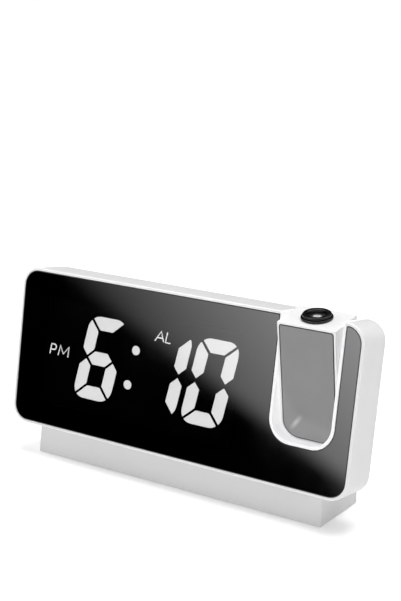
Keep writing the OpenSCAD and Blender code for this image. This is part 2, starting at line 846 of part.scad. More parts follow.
module usb_tongue() color(BLACK) in_case()
    block([usb_x - tongue_w / 2, usb_front + usb_floor, usb_z - tongue_t / 2],
        [usb_x + tongue_w / 2, case_d - tongue_recess, usb_z + tongue_t / 2]);

module board_screws() color(STEEL) in_case() {
    for (x = button_post_x) translate([x, button_board_y, button_z]) rotate([90, 0, 0])
        screw(small_head_r, small_head_t, small_screw_r, board_screw_len);
    for (side = [-1, 1]) translate([usb_x + side * power_post_dx, usb_front - power_board_t, usb_z])
        rotate([90, 0, 0]) screw(small_head_r, small_head_t, small_screw_r, board_screw_len);
}

module battery_cap() color(WHITE) in_case() difference() {
    union() {
        bar_y(cap_x, cap_z, cap_flange_r, case_d - cap_flange_t + button_gap, case_d);
        bar_y(cap_x, cap_z, cap_r, cover_y - lug_t - fit_gap, case_d - EPS);
        bar_y(cap_x, cap_z, cell_r - cell_press_in, cell_y + cell_t, cover_y);
        // Bayonet lugs, above and below while the cap is locked
        plate(cover_y - lug_t - fit_gap, cover_y - fit_gap) intersection() {
            translate([cap_x, cap_z]) circle(lug_r);
            translate([cap_x, cap_z]) square([lug_w, 2 * lug_r + EPS], center = true);
        }
    }
    block([cap_x - cap_slot_w / 2, case_d - cap_slot_deep, cap_z - cap_slot_h / 2],
        [cap_x + cap_slot_w / 2, case_d + EPS, cap_z + cap_slot_h / 2]);
}

module coin_cell() color(STEEL) in_case() {
    bar_y(cap_x, cap_z, cell_r - cell_step_r, cell_y, cell_y + cell_t);
    bar_y(cap_x, cap_z, cell_r, cell_y + cell_step_t, cell_y + cell_t);
}

// The strip under the cell with its raised pad, and the leaf beside the cell
module battery_contacts() color(BRASS) in_case() {
    block([cap_x - contact_w / 2, well_floor_y, cap_z - contact_h / 2],
        [cap_x + contact_w / 2, well_floor_y + contact_t, cap_z + contact_h / 2]);
    block([cap_x - contact_h / 2, well_floor_y, cap_z - contact_h / 2],
        [cap_x + contact_h / 2, cell_y, cap_z + contact_h / 2]);
    block([cap_x + cell_r + cell_side_gap, well_floor_y, cap_z - contact_h / 2],
        [cap_x + cell_r + cell_side_gap + contact_t, cell_y + cell_t, cap_z + contact_h / 2]);
}

// ---- Cradle and pivots -----------------------------------------------------------------------

module arm_cradle() color(WHITE) in_case() difference() {
    union() {
        intersection() {
            swing_space(cradle_wall);
            block([-case_w, 0, 0], [case_w, case_d, case_h]);
        }
        translate([arm_x, pivot_y, pivot_z]) for (side = [-1, 1]) {
            bar_x(side > 0 ? slot_half : -boss_end, side > 0 ? boss_end : -slot_half, boss_r);
        }
        // Pin that stops the cam of the arm at both ends of its swing
        translate([arm_x, pivot_y, pivot_z - stop_pin_at])
            bar_x(-clip_x - clip_t, -slot_half, stop_pin_r);
        block([ear_x - ear_post_r, ear_y, ear_z - ear_post_r],
            [arm_x - slot_half, ear_y + ear_t, ear_z + ear_post_r]);
        block([arm_x - ear_post_r, ear_y, heel_z - ear_post_r],
            [arm_x + ear_post_r, ear_y + ear_t, pivot_z - swing_r]);
    }
    swing_space(0);
    translate([arm_x, pivot_y, pivot_z]) bar_x(-2 * arm_w, 2 * arm_w, pivot_r + run_gap);
    for (p = cradle_post_at) bar_y(p[0], p[1], screw_r + fit_gap, ear_y - EPS, ear_y + ear_t + EPS);
}

module cradle_screws() color(STEEL) in_case() for (p = cradle_post_at)
    screw_from_rear(p[0], p[1], ear_y + ear_t, screw_head_r, screw_head_t, screw_r, cradle_screw_len);

module friction_washers() color(BRASS) in_case() translate([arm_x, pivot_y, pivot_z])
    for (side = [-1, 1]) difference() {
        x0 = side > 0 ? boss_end : -boss_end - washer_t;
        bar_x(x0, x0 + washer_t, side > 0 ? pivot_head_r : stop_pin_at - stop_pin_r - fit_gap);
        bar_x(x0 - EPS, x0 + washer_t + EPS, pivot_r + run_gap);
    }

// A pivot along X that points right, with its head inside the arm and a groove near its end
module pivot_pin() difference() {
    union() {
        bar_x(arm_inner - pivot_head_t, arm_inner, pivot_head_r);
        bar_x(arm_inner - EPS, pivot_end, pivot_r);
    }
    difference() {
        bar_x(clip_x - fit_gap / 2, clip_x + clip_t + fit_gap / 2, pivot_r + EPS);
        bar_x(clip_x - EPS, clip_x + clip_t + EPS, groove_r);
    }
}

module left_pivot() color(STEEL) in_arm() difference() {
    mirror([1, 0, 0]) pivot_pin();
    bar_x(-pivot_end - EPS, 0, pivot_hole_r);
}

module right_pivot() color(STEEL) in_arm() pivot_pin();

module retaining_ring() color(STEEL) in_arm() difference() {
    bar_x(clip_x, clip_x + clip_t, clip_r);
    bar_x(clip_x - EPS, clip_x + clip_t + EPS, groove_r);
}

// A ring on the left pivot, with a sector that meets the cradle's pin at both ends of the swing
module stop_cam() color(STEEL) in_arm() difference() {
    union() {
        bar_x(-clip_x - clip_t, -clip_x, pivot_r + cam_hub_t);
        intersection() {
            bar_x(-clip_x - clip_t, -clip_x, cam_r);
            translate([-clip_x, 0, 0]) rotate([90, 0, -90]) linear_extrude(clip_t)
                polygon(2 * cam_r * [[0, 0], [sin(cam_half), cos(cam_half)], [1, 1], [-1, 1],
                    [-sin(cam_half), cos(cam_half)]]);
        }
    }
    bar_x(-clip_x - clip_t - EPS, -clip_x + EPS, groove_r);
}

// ---- Plinth ----------------------------------------------------------------------------------

// Height of the seat under the case at a row depth y
function seat_z(y) = case_lift - (y - front_y) * tan(case_lean);

// The plinth's side view, moved in by an inset
module base_profile(inset, low) {
    y0 = base_y0 + inset;
    y1 = base_y1 - inset;
    drop = inset / cos(case_lean);
    r = base_edge_r;
    top0 = seat_z(y0) - drop;
    top1 = seat_z(y1) - drop;
    lean_in = (top0 - floor_z) * tan(base_draft);
    difference() {
        polygon([[y0, low], [y1, low], [y1, top1], [y0 + lean_in, seat_z(y0 + lean_in) - drop]]);
        if (inset == 0) translate([y1 - r, top1 - r * tan(45 - case_lean / 2)]) difference() {
            polygon(2 * r * [[0, 0], [1, 0], [1, 1], [sin(case_lean), cos(case_lean)]]);
            circle(r);
        }
    }
}

// The plinth's front view, with drafted ends
module base_front(inset, low) {
    half = base_w / 2 - inset;
    top = case_lift + EPS;
    polygon([[-half, low], [half, low], [half - top * tan(base_draft), top],
        [-half + top * tan(base_draft), top]]);
}

module base_block(inset, low) intersection() {
    translate([-base_w / 2, 0, 0]) rotate([90, 0, 90]) linear_extrude(base_w) base_profile(inset, low);
    plate(base_y0 - EPS, base_y1 + EPS) base_front(inset, low);
}

base_post_at = [for (sx = [-1, 1], y = [base_y0 + base_post_in, base_y1 - base_post_in])
    [sx * (base_w / 2 - base_post_dx), y]];

module base_shell() color(WHITE) difference() {
    union() {
        difference() {
            base_block(0, floor_z);
            base_block(base_wall, floor_z - EPS);
        }
        intersection() {
            base_block(0, floor_z);
            for (p = base_post_at) translate([p[0], p[1], 0]) bar_z(inside_z, case_lift, base_post_r);
        }
    }
    for (p = base_post_at) translate([p[0], p[1], 0])
        bar_z(inside_z - EPS, inside_z + base_post_h - hole_floor, screw_r + fit_gap);
    in_case() for (side = [-1, 1]) translate([side * stand_x, stand_y, 0])
        bar_z(-base_wall - EPS, EPS, screw_r + fit_gap);
}

module base_bottom() color(WHITE) difference() {
    block([-base_w / 2 + base_wall + bottom_gap, base_y0 + base_wall + bottom_gap, floor_z],
        [base_w / 2 - base_wall - bottom_gap, base_y1 - base_wall - fit_gap, inside_z]);
    for (p = base_post_at) translate([p[0], p[1], 0]) {
        bar_z(floor_z - EPS, inside_z + EPS, screw_r + fit_gap);
        bar_z(floor_z - EPS, floor_z + screw_head_t, screw_head_r + head_gap);
    }
    for (p = foot_at) translate([p[0], p[1], 0]) bar_z(floor_z - EPS, floor_z + foot_sink, foot_r + fit_gap);
}

foot_at = [for (sx = [-1, 1], y = [base_y0 + foot_in, base_y1 - foot_in])
    [sx * (base_w / 2 - foot_end_in), y]];

module rubber_feet() color(RUBBER) for (p = foot_at)
    translate([p[0], p[1], 0]) bar_z(0, floor_z + foot_sink, foot_r);

module base_screws() color(STEEL) for (p = base_post_at)
    translate([p[0], p[1], floor_z + screw_head_t]) rotate([180, 0, 0])
        screw(screw_head_r, screw_head_t - fit_gap, screw_r, base_screw_len);

module ballast_plate() color(STEEL)
    block([-ballast_w / 2, ballast_y - ballast_d / 2, inside_z],
        [ballast_w / 2, ballast_y + ballast_d / 2, inside_z + ballast_t]);

module stand_screws() color(STEEL) in_case() for (side = [-1, 1])
    translate([side * stand_x, stand_y, -base_wall]) rotate([180, 0, 0])
        screw(screw_head_r, screw_head_t, screw_r, base_wall + stand_post_h - stand_screw_end);

// ---- Leads -----------------------------------------------------------------------------------

module body_lead() color(BLACK) in_case() wire([
    [arm_x - cradle_half, pivot_y, pivot_z],
    [lead_bend_x, pivot_y, pivot_z],
    [lead_bend_x, lead_socket_y, pivot_z],
    [lead_socket_x, lead_socket_y, pivot_z]], lead_r);

module power_lead() color(BLACK) in_case()
    bar_y(power_lead_at[0], power_lead_at[1], power_lead_r, board_back, usb_front - power_board_t);

// ---- Arm -------------------------------------------------------------------------------------

arm_front = -arm_t / 2;
arm_back = arm_t / 2;
arm_web = 1.2;
arm_cavity_y0 = arm_front + plate_t + arm_web;
arm_cavity_y1 = arm_back - arm_cover_t;
arm_post_drop = 7;
arm_post_rise = 2;
arm_post_sink = 0.1;
arm_post_at = [for (sx = [-1, 1], z = [arm_head - arm_post_drop, -arm_tail + arm_corner_r + arm_post_rise])
    [sx * (arm_inner - small_post_r + arm_post_sink), z]];

module arm_housing() color(WHITE) in_arm() difference() {
    union() {
        difference() {
            plate(arm_front, arm_cavity_y1) arm_outline(0, 0);
            plate(arm_front - EPS, arm_front + plate_t) arm_outline(plate_rim, plate_corner_r);
            plate(arm_cavity_y0, arm_back) arm_outline(arm_wall, 0);
        }
        for (p = arm_post_at) bar_y(p[0], p[1], small_post_r, arm_cavity_y0 - EPS, arm_cavity_y1);
        // Ribs that hold the optics tube
        for (z = rib_z) block([-arm_inner - EPS, arm_cavity_y0 - EPS, z],
            [arm_inner + EPS, arm_cavity_y1, z + rib_t]);
    }
    bar_z(arm_top - 2 * arm_wall, arm_top + EPS, sleeve_r + fit_gap);
    bar_z(tube_bottom - EPS, tube_top + EPS, tube_r + fit_gap);
    translate([lead_x, 0, 0]) bar_z(tube_bottom, 0, lead_r + lead_hole_gap);
    bar_x(-arm_w, arm_w, pivot_r + run_gap);
    for (p = arm_post_at) bar_y(p[0], p[1], small_screw_r + fit_gap, arm_cavity_y0, arm_back);
}

module arm_back_cover() color(WHITE) in_arm() difference() {
    plate(arm_cavity_y1, arm_back) arm_outline(0, 0);
    for (p = arm_post_at) {
        bar_y(p[0], p[1], small_screw_r + fit_gap, arm_cavity_y1 - EPS, arm_back + EPS);
        bar_y(p[0], p[1], small_head_r + 2 * fit_gap, arm_back - small_head_t, arm_back + EPS);
    }
}

module arm_mirror() color([0.55, 0.56, 0.57]) in_arm()
    plate(arm_front, arm_front + plate_t) arm_outline(plate_rim + fit_gap, plate_corner_r);

module arm_screws() color(STEEL) in_arm() for (p = arm_post_at)
    screw_from_rear(p[0], p[1], arm_back - small_head_t, small_head_r, small_head_t - fit_gap,
        small_screw_r, arm_screw_len);

module lens_bezel() color(BLACK) in_arm() difference() {
    union() {
        bar_z(arm_top, arm_top + bezel_t, bezel_r);
        bar_z(sleeve_z, arm_top + EPS, sleeve_r);
    }
    bar_z(sleeve_z - EPS, arm_top + bezel_t + EPS, sleeve_r - sleeve_t);
}

// The ring that is turned to focus, with a skirt that runs in the bezel's sleeve
module focus_ring() color(BLACK) in_arm() difference() {
    union() {
        bar_z(ring_z, ring_top, focus_r);
        bar_z(sleeve_z + skirt_end, ring_z + EPS, skirt_r);
    }
    bar_z(sleeve_z, ring_top - ring_lip, skirt_r - skirt_t);
    bar_z(sleeve_z, ring_top + EPS, lens_opening_r);
}

module lens_cell() color(BLACK) in_arm() difference() {
    bar_z(cell_top - cell_len, cell_top, cell_outer_r);
    bar_z(lens_seat_z, cell_top + EPS, lens_r + fit_gap);
    bar_z(cell_top - cell_len - EPS, cell_top, lens_r - lens_lip);
}

// A lens with two bulging faces, cut round
module projection_lens() color(GLASS) in_arm() intersection() {
    bar_z(lens_seat_z, lens_seat_z + lens_t, lens_r);
    translate([0, 0, lens_seat_z + lens_t - lens_curve_r]) sphere(lens_curve_r);
}

module optics_tube() color(BLACK) in_arm() difference() {
    bar_z(tube_bottom, tube_top, tube_r);
    bar_z(tube_bottom - EPS, shoulder_z, tube_r - tube_wall);
    bar_z(shoulder_z - EPS, tube_top + EPS, shoulder_hole_r);
    bar_z(shoulder_z + shoulder_t, tube_top + EPS, tube_r - tube_wall);
}

module condenser_lens() color(GLASS) in_arm() intersection() {
    bar_z(shoulder_z - condenser_t, shoulder_z, tube_r - tube_wall - fit_gap);
    translate([0, 0, shoulder_z - condenser_t + lens_curve_r]) sphere(lens_curve_r);
}

module lcd_slide() color(GLASS) in_arm()
    block([-lcd_size / 2, -lcd_size / 2, shoulder_z + shoulder_t],
        [lcd_size / 2, lcd_size / 2, shoulder_z + shoulder_t + lcd_t]);

module projector_board() color(BOARD) in_arm()
    block([-led_board_w / 2, -led_board_d / 2, tube_bottom - led_board_t],
        [led_board_w / 2, led_board_d / 2, tube_bottom]);

module projector_led() color([0.8, 0.1, 0.1]) in_arm() {
    bar_z(tube_bottom, tube_bottom + led_collar_h, led_collar_r);
    translate([0, 0, tube_bottom + led_collar_h]) intersection() {
        sphere(led_dome_r);
        bar_z(-EPS, led_collar_r, led_collar_r);
    }
}

module arm_lead() color(BLACK) in_arm() wire([
    [-cradle_half, 0, 0],
    [lead_x, 0, 0],
    [lead_x, 0, tube_bottom]], lead_r);

// ---- Every node ------------------------------------------------------------------------------

front_housing();
rear_cover();
mirror_panel();
segment_reflector();
lit_segments();
indicator_guides();
main_board();
segment_leds();
controller_chip();
clock_crystal();
buzzer();
lead_socket();
button_board();
board_header();
tact_switches();
mode_button();
alarm_button();
up_button();
down_button();
light_button();
projector_button();
power_board();
usb_socket();
usb_tongue();
board_screws();
battery_cap();
coin_cell();
battery_contacts();
case_screws();
arm_cradle();
cradle_screws();
friction_washers();
base_shell();
base_bottom();
ballast_plate();
rubber_feet();
base_screws();
stand_screws();
body_lead();
power_lead();
arm_housing();
arm_back_cover();
arm_mirror();
arm_screws();
left_pivot();
right_pivot();
retaining_ring();
stop_cam();
lens_bezel();
optics_tube();
condenser_lens();
lcd_slide();
projector_board();
projector_led();
arm_lead();
focus_ring();
lens_cell();
projection_lens();
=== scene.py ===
"""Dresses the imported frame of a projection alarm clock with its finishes, soft edges and stage."""

import json
import math

import bmesh
import bpy
from mathutils import Matrix, Vector


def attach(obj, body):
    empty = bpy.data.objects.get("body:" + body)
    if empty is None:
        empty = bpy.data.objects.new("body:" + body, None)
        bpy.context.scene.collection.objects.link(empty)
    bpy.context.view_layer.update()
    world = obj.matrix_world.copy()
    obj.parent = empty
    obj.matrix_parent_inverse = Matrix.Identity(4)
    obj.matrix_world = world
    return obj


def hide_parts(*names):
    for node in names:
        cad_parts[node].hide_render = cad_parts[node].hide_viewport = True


bl_info = {
    "name": "Projection Alarm Clock",
    "version": (1, 0, 0),
    "blender": (4, 5, 0),
    "location": "3D View > Sidebar > Clock",
    "description": "Finishes and stage of a mirror clock with a projector arm",
    "category": "Object",
}

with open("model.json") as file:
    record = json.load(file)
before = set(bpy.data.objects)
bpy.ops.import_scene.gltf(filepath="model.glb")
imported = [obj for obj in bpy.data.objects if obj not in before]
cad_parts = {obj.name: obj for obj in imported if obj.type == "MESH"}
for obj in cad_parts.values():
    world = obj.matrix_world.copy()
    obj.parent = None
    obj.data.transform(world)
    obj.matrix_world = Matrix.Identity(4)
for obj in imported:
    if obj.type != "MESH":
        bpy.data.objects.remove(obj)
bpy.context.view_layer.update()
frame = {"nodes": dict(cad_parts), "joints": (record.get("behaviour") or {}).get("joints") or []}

MM = 0.001

# Merging a node's loose triangles into whole faces
MERGE_DISTANCE = 0.002 * MM
FLAT_ANGLE = math.radians(0.6)
SHARP_ANGLE = math.radians(30)

# Cosines of the most that a face may lean and still look in a direction, or straight in it
FACING = 0.999
STRAIGHT = 0.9999

# Rounding of a piece's outer edges, and the faces too thin to keep after any rounding
OUTER_TOLERANCE = 0.02 * MM
OUTER_SEGMENTS = 4
SLIVER = 0.006 * MM


# ---- Places ------------------------------------------------------------------------------------


def joint_axis(name):
    """The direction of a joint's axis."""
    return Vector(next(j["axis"] for j in frame["joints"] if j["name"] == name))


RIGHT = Vector((1, 0, 0))
# The case's own axes, as rows: right, back from the mirror's face, up that face. The buttons on
# the back are pressed straight towards the front.
FORWARD = joint_axis("mode_press")
CASE_AXES = Matrix((RIGHT, -FORWARD, FORWARD.cross(RIGHT)))
# The arm's axes as it stands. The focus ring turns about the arm's upward axis.
LENS_AXIS = joint_axis("focus_turn")
ARM_AXES = Matrix((RIGHT, LENS_AXIS.cross(RIGHT), LENS_AXIS))
# The same for what lies flat in the arm, such as its board
ARM_FLAT_AXES = Matrix((ARM_AXES[0], ARM_AXES[2], ARM_AXES[1]))


def box_of(vertices, axes):
    """Lowest and highest corner of some vertices along three axes."""
    points = [axes @ v.co for v in vertices]
    return (Vector([min(p[i] for p in points) for i in range(3)]),
            Vector([max(p[i] for p in points) for i in range(3)]))


def node_box(node, axes=CASE_AXES):
    """Lowest and highest corner of a node, along the case's axes if no others are given."""
    return box_of(frame["nodes"][node].data.vertices, axes)


def middle_and_reach(low, high):
    """The middle of a box, and how far the box reaches from there."""
    return (low + high) / 2, (high - low) / 2


# ---- Properties --------------------------------------------------------------------------------


def length(name, text, millimetres, low=0.0):
    """A length property, given in millimetres and kept in metres."""
    return bpy.props.FloatProperty(
        name=name, description=text, default=millimetres * MM, min=low, precision=5,
        unit="LENGTH", subtype="DISTANCE")


def colour(name, text, *rgb):
    """A linear colour property."""
    return bpy.props.FloatVectorProperty(
        name=name, description=text, default=rgb, size=3, min=0, max=1, subtype="COLOR")


def factor(name, text, value, top=1.0):
    """A plain number from 0 to its top."""
    return bpy.props.FloatProperty(
        name=name, description=text, default=value, min=0, max=top, subtype="FACTOR")


def angle(name, text, degrees):
    """An angle property, given in degrees and kept in radians."""
    return bpy.props.FloatProperty(
        name=name, description=text, default=math.radians(degrees), subtype="ANGLE")


class ClockPlastic(bpy.types.PropertyGroup):
    """Moulded white plastic of the case, plinth, arm and buttons, and the rounding of edges."""

    shade: colour("Shade", "Colour of the white plastic", 0.83, 0.83, 0.835)
    gloss: factor("Roughness", "Roughness of the white plastic", 0.3)
    # Painted shade: the plinth's white is made darker than the case's, standing in for the shade it
    # lies in
    plinth_painted_shade: factor("Plinth tone", "Brightness of the plinth beside the case", 0.87)
    # Painted light: the cradle's white is made brighter than the rest to lighten its shaded hollow
    cradle_painted_light_tone: factor("Cradle tone", "Brightness of the arm's cradle beside the case", 1.05, 1.2)
    # Painted light: the cradle glows behind its rim, though it is no lamp, to lighten its shaded
    # hollow
    cradle_painted_glow: factor("Cradle glow", "Light that the cradle lets through behind its rim", 0.36)
    case_edge: length("Case edge", "Radius of the case's outer edges", 0.8)
    arm_edge: length("Arm edge", "Radius of the arm's outer edges", 0.3)
    base_edge: length("Plinth edge", "Radius of the plinth's outer edges", 0.3)
    button_edge: length("Button edge", "Radius of the buttons' rims", 0.4)
    flange_edge: length("Flange edge", "Radius of the edges of the black flange on the arm", 0.35)
    ring_edge: length("Ring edge", "Radius of the focus ring's edges", 0.4)
    small_edge: length("Small edge", "Radius of all other moulded edges", 0.2)


class ClockMirror(bpy.types.PropertyGroup):
    """One-way mirror of the face, and the grey plate on the arm."""

    reflection: factor("Reflection", "Share of light that the face mirrors", 0.3)
    film: factor("Film", "Share of light that the film holds back over the display", 0.62)
    plate: factor("Arm plate", "Share of light that the arm's plate throws back", 0.325)
    border: length("Border", "Width of the dark border printed round the mirrors", 0.42)
    edge: length("Edge", "Chamfer on the mirrors' edges", 0.15)
    back_gap: length("Back gap", "Air between the face and the light guides", 0.1)


class ClockDisplay(bpy.types.PropertyGroup):
    """Lit segments and the small marks."""

    lit: colour("Lit", "Colour of the lit segments", 1.0, 1.0, 1.0)
    strength: factor("Strength", "Brightness of the lit segments", 1.75, 10)
    mark_strength: factor("Mark strength", "Brightness of the small marks", 2.0, 10)
    mark_stroke: length("Mark stroke", "Width of the marks' strokes", 0.62)


class ClockStage(bpy.types.PropertyGroup):
    """Camera, floor and lights."""

    camera_x: length("Camera X", "Camera's place, to the right", 304.134, -10)
    camera_y: length("Camera Y", "Camera's place, to the back", -475.523, -10)
    camera_z: length("Camera Z", "Camera's height", 222.528, -10)
    yaw: angle("Yaw", "Camera's turn to the left from straight back", 32.279)
    pitch: angle("Pitch", "Camera's tilt downwards", 13.494)
    roll: angle("Roll", "Camera's roll", 1.767)
    focal: factor("Focal length", "In pixels of the picture's height", 1258.017, 5000)
    floor: colour("Floor", "Colour of the floor", 0.94, 0.94, 0.94)
    glow: factor("Glow", "Light from the floor itself, round the clock", 0.2)
    ambient: factor("Ambient", "Strength of the light from all round", 0.3, 10)
    top: factor("Top", "Power of the large soft light overhead, in watts", 16.2, 1000)
    left: factor("Left", "Power of the soft light on the left, in watts", 11.2, 1000)
    front: factor("Front", "Power of the soft light on the front right, in watts", 4.5, 1000)


# ---- Shader maths ------------------------------------------------------------------------------

# Most of a noise's values lie between these
NOISE_SPAN = 0.3, 0.7


class Wire:
    """One output of a node, on which arithmetic adds Math nodes."""

    def __init__(self, tree, socket):
        self.tree = tree
        self.socket = socket

    def output(self, name):
        """Another output of the same node."""
        return Wire(self.tree, self.socket.node.outputs[name])

    def maths(self, operation, *values):
        """A Math node with an operation on some values."""
        return self.tree.add("ShaderNodeMath", {"operation": operation}, dict(enumerate(values)))

    def __add__(self, other):
        return self.maths("ADD", self, other)

    def __radd__(self, other):
        return self.maths("ADD", other, self)

    def __sub__(self, other):
        return self.maths("SUBTRACT", self, other)

    def __rsub__(self, other):
        return self.maths("SUBTRACT", other, self)

    def __mul__(self, other):
        return self.maths("MULTIPLY", self, other)

    def __rmul__(self, other):
        return self.maths("MULTIPLY", other, self)

    def __gt__(self, other):
        return self.maths("GREATER_THAN", self, other)

    def __lt__(self, other):
        return self.maths("LESS_THAN", self, other)

    def __abs__(self):
        return self.maths("ABSOLUTE", self)

    def repeat(self, period):
        """Distance from the nearest multiple of a period."""
        return self.maths("PINGPONG", self, period / 2)

    def least(self, other):
        return self.maths("MINIMUM", self, other)

    def most(self, other):
        return self.maths("MAXIMUM", self, other)

    def power(self, exponent):
        return self.maths("POWER", self, exponent)

    def steps(self, low, high, start=0.0, end=1.0):
        """Goes smoothly from start to end as the value goes from low to high."""
        return self.tree.add(
            "ShaderNodeMapRange", {"interpolation_type": "SMOOTHSTEP"},
            {"Value": self, "From Min": low, "From Max": high, "To Min": start, "To Max": end})

    def spread(self, start, end):
        """Goes smoothly from start to end over most of a noise's values."""
        return self.steps(*NOISE_SPAN, start, end)

    def within(self, inner, outer):
        """1 up to an inner distance on either side, and smoothly down to 0 at an outer one."""
        return abs(self).steps(inner, outer, 1.0, 0.0)


class Nodes:
    """A node tree and the one method that adds to it."""

    def __init__(self, tree):
        self.tree = tree

    def add(self, kind, settings=None, sockets=None):
        """Adds a node, makes its settings, then gives its sockets their values or links."""
        node = self.tree.nodes.new(kind)
        for key, value in (settings or {}).items():
            setattr(node, key, value)
        for key, value in (sockets or {}).items():
            self.feed(node.inputs[key], value)
        enabled = [s for s in node.outputs if s.enabled]
        return Wire(self, enabled[0]) if enabled else None

    def feed(self, socket, value):
        """Gives a socket a link, a colour or any other value."""
        if isinstance(value, Wire):
            self.tree.links.new(value.socket, socket)
        elif hasattr(value, "__len__") and len(value) == 3 and socket.type == "RGBA":
            socket.default_value = (*value, 1)
        else:
            socket.default_value = value

    def object_space(self):
        """The place of a point on its object."""
        return self.add("ShaderNodeTexCoord").output("Object")

    def split(self, vector):
        """The three parts of a vector."""
        parts = self.add("ShaderNodeSeparateXYZ", None, {0: vector})
        return [parts.output(name) for name in "XYZ"]

    def turned(self, origin, axes):
        """Distances along three axes, in metres, from an origin that is also given along them."""
        moved = self.add(
            "ShaderNodeVectorMath", {"operation": "SUBTRACT"},
            {0: self.object_space(), 1: axes.transposed() @ origin})
        along = [
            self.add("ShaderNodeVectorMath", {"operation": "DOT_PRODUCT"}, {0: moved, 1: axis})
            for axis in axes]
        return [product.output("Value") for product in along]

    def noise(self, size, detail=2.0, roughness=0.5):
        """Noise with cells of a size in metres."""
        return self.add(
            "ShaderNodeTexNoise", None,
            {"Vector": self.object_space(), "Scale": 1 / size, "Detail": detail,
             "Roughness": roughness})

    def cells(self, size):
        """Distance from the nearest middle of a cell, with cells of a size in metres."""
        return self.add(
            "ShaderNodeTexVoronoi", None, {"Vector": self.object_space(), "Scale": 1 / size})

    def blend(self, amount, low, high):
        """A colour that goes from low to high, which a Mix node takes in its sockets 6 and 7."""
        return self.add("ShaderNodeMix", {"data_type": "RGBA"}, {0: amount, 6: low, 7: high})

    def bump(self, height, depth, strength=1.0):
        """A normal that follows a height from 0 to 1, over a depth in metres."""
        return self.add(
            "ShaderNodeBump", None, {"Height": height, "Distance": depth, "Strength": strength})

    def background(self, strength):
        """White light from all round."""
        return self.add("ShaderNodeBackground", None, {"Color": grey(1), "Strength": strength})


# The shader's sockets whose names don't follow from their keywords
SOCKETS = {"ior": "IOR", "coat_ior": "Coat IOR", "specular_ior_level": "Specular IOR Level"}


class Finish(Nodes):
    """A material with one surface shader."""

    def __init__(self, name, **sockets):
        self.material = bpy.data.materials.new(name)
        self.material.use_nodes = True
        super().__init__(self.material.node_tree)
        self.shader = self.tree.nodes["Principled BSDF"]
        self.set(**sockets)

    def set(self, **sockets):
        """Gives the shader's sockets their values or links; base_color is Base Color."""
        for key, value in sockets.items():
            self.feed(self.shader.inputs[SOCKETS.get(key, key.replace("_", " ").title())], value)


def grey(value):
    """A linear grey."""
    return (value, value, value)


# ---- Finishes ----------------------------------------------------------------------------------

# The darker end of the faint unevenness of a white
UNEVEN = 0.99

# Painted shade round the display, black where the inside of the case lies in shade: how far it
# reaches past the black block, how far before the mirror's back it starts, and its grey
PAINTED_SHADE_REACH = 2 * MM
PAINTED_SHADE_START = 0.06 * MM
PAINTED_SHADE_GREY = 0.002

# How the cradle's painted glow grows, back from its rim; the glow lightens its shaded hollow
PAINTED_GLOW_DEPTH = -1.0 * MM, 1.2 * MM


def painted_shade_box():
    """The part of the housing round the display that gets painted shade, black where the case's
    inside is dark.
    """
    low, high = node_box("segment_reflector")
    low -= Vector((PAINTED_SHADE_REACH, 0, PAINTED_SHADE_REACH))
    high += Vector((PAINTED_SHADE_REACH, 0, PAINTED_SHADE_REACH))
    low.y = node_box("mirror_panel")[1].y - PAINTED_SHADE_START
    return low, high


def white_plastic(name, tone=1.0, painted=None, painted_glow_from=None):
    """Glossy white moulding, with painted shade inside a box or a painted glow behind a point, if
    given.
    """
    look = bpy.context.scene.clock_plastic
    base = Vector(look.shade) * tone
    made = Finish(name)
    plain = made.blend(made.noise(30 * MM, detail=3), base * UNEVEN, base)
    # Painted light: an emitted glow that grows back from the given point
    if painted_glow_from is not None:
        _, depth, _ = made.turned(painted_glow_from, CASE_AXES)
        made.set(
            emission_strength=look.cradle_painted_glow,
            emission_color=made.blend(depth.steps(*PAINTED_GLOW_DEPTH), grey(0), base))
    # Painted shade: black inside the box, where the inside of the case lies in shade
    if painted:
        middle, reach = middle_and_reach(*painted)
        x, depth, z = made.turned(middle, CASE_AXES)
        inside = (abs(x) < reach.x) * (abs(depth) < reach.y) * (abs(z) < reach.z)
        plain = made.blend(inside, plain, grey(PAINTED_SHADE_GREY))
    made.set(
        base_color=plain,
        roughness=made.noise(20 * MM).steps(0.2, 0.8, look.gloss - 0.02, look.gloss + 0.03),
        normal=made.bump(made.noise(0.22 * MM, detail=1), depth=0.003 * MM, strength=0.4))
    return made.material


def black_plastic(name, roughness=0.3, base=0.012, grain=0.2 * MM, depth=0.003 * MM):
    """Black moulding with a fine grain."""
    made = Finish(name)
    made.set(
        base_color=made.blend(made.noise(2 * MM), grey(base), grey(base * 1.8)),
        roughness=made.noise(1.5 * MM, detail=3).spread(roughness - 0.05, roughness + 0.08),
        normal=made.bump(made.noise(grain, detail=1), depth=depth, strength=0.6))
    return made.material


# The display window in the mirror fades out over this width
WINDOW_EDGE = 1.2 * MM


def face_film(name):
    """Dark one-way mirror, which lets light through over the display window."""
    look = bpy.context.scene.clock_mirror
    middle, reach = middle_and_reach(*node_box("segment_reflector"))
    made = Finish(name, metallic=1.0)
    x, _, z = made.turned(middle, CASE_AXES)
    window = x.within(reach.x - WINDOW_EDGE, reach.x) * z.within(reach.z - WINDOW_EDGE, reach.z)
    held_back = 1 - window * (1 - look.film)
    made.set(
        base_color=look.reflection * held_back.power(-1),
        alpha=held_back,
        roughness=made.noise(30 * MM, detail=4, roughness=0.6).steps(0.35, 0.75, 0.03, 0.06))
    return made.material


# A painted reflection on the arm's plate: a light streak from the plate's lower left corner
PAINTED_STREAK_AT = Vector((6.5 * MM, 0, 7.5 * MM))
PAINTED_STREAK_TURN = math.radians(38)
PAINTED_STREAK_WIDTH = 1.6 * MM
PAINTED_STREAK_LENGTH = 6 * MM
# How much that painted reflection and the plate's smudges lighten it, and how metallic it is
PAINTED_STREAK_LIGHT = 0.4
SMUDGE_LIGHT = 0.06
PLATE_METAL = 0.55


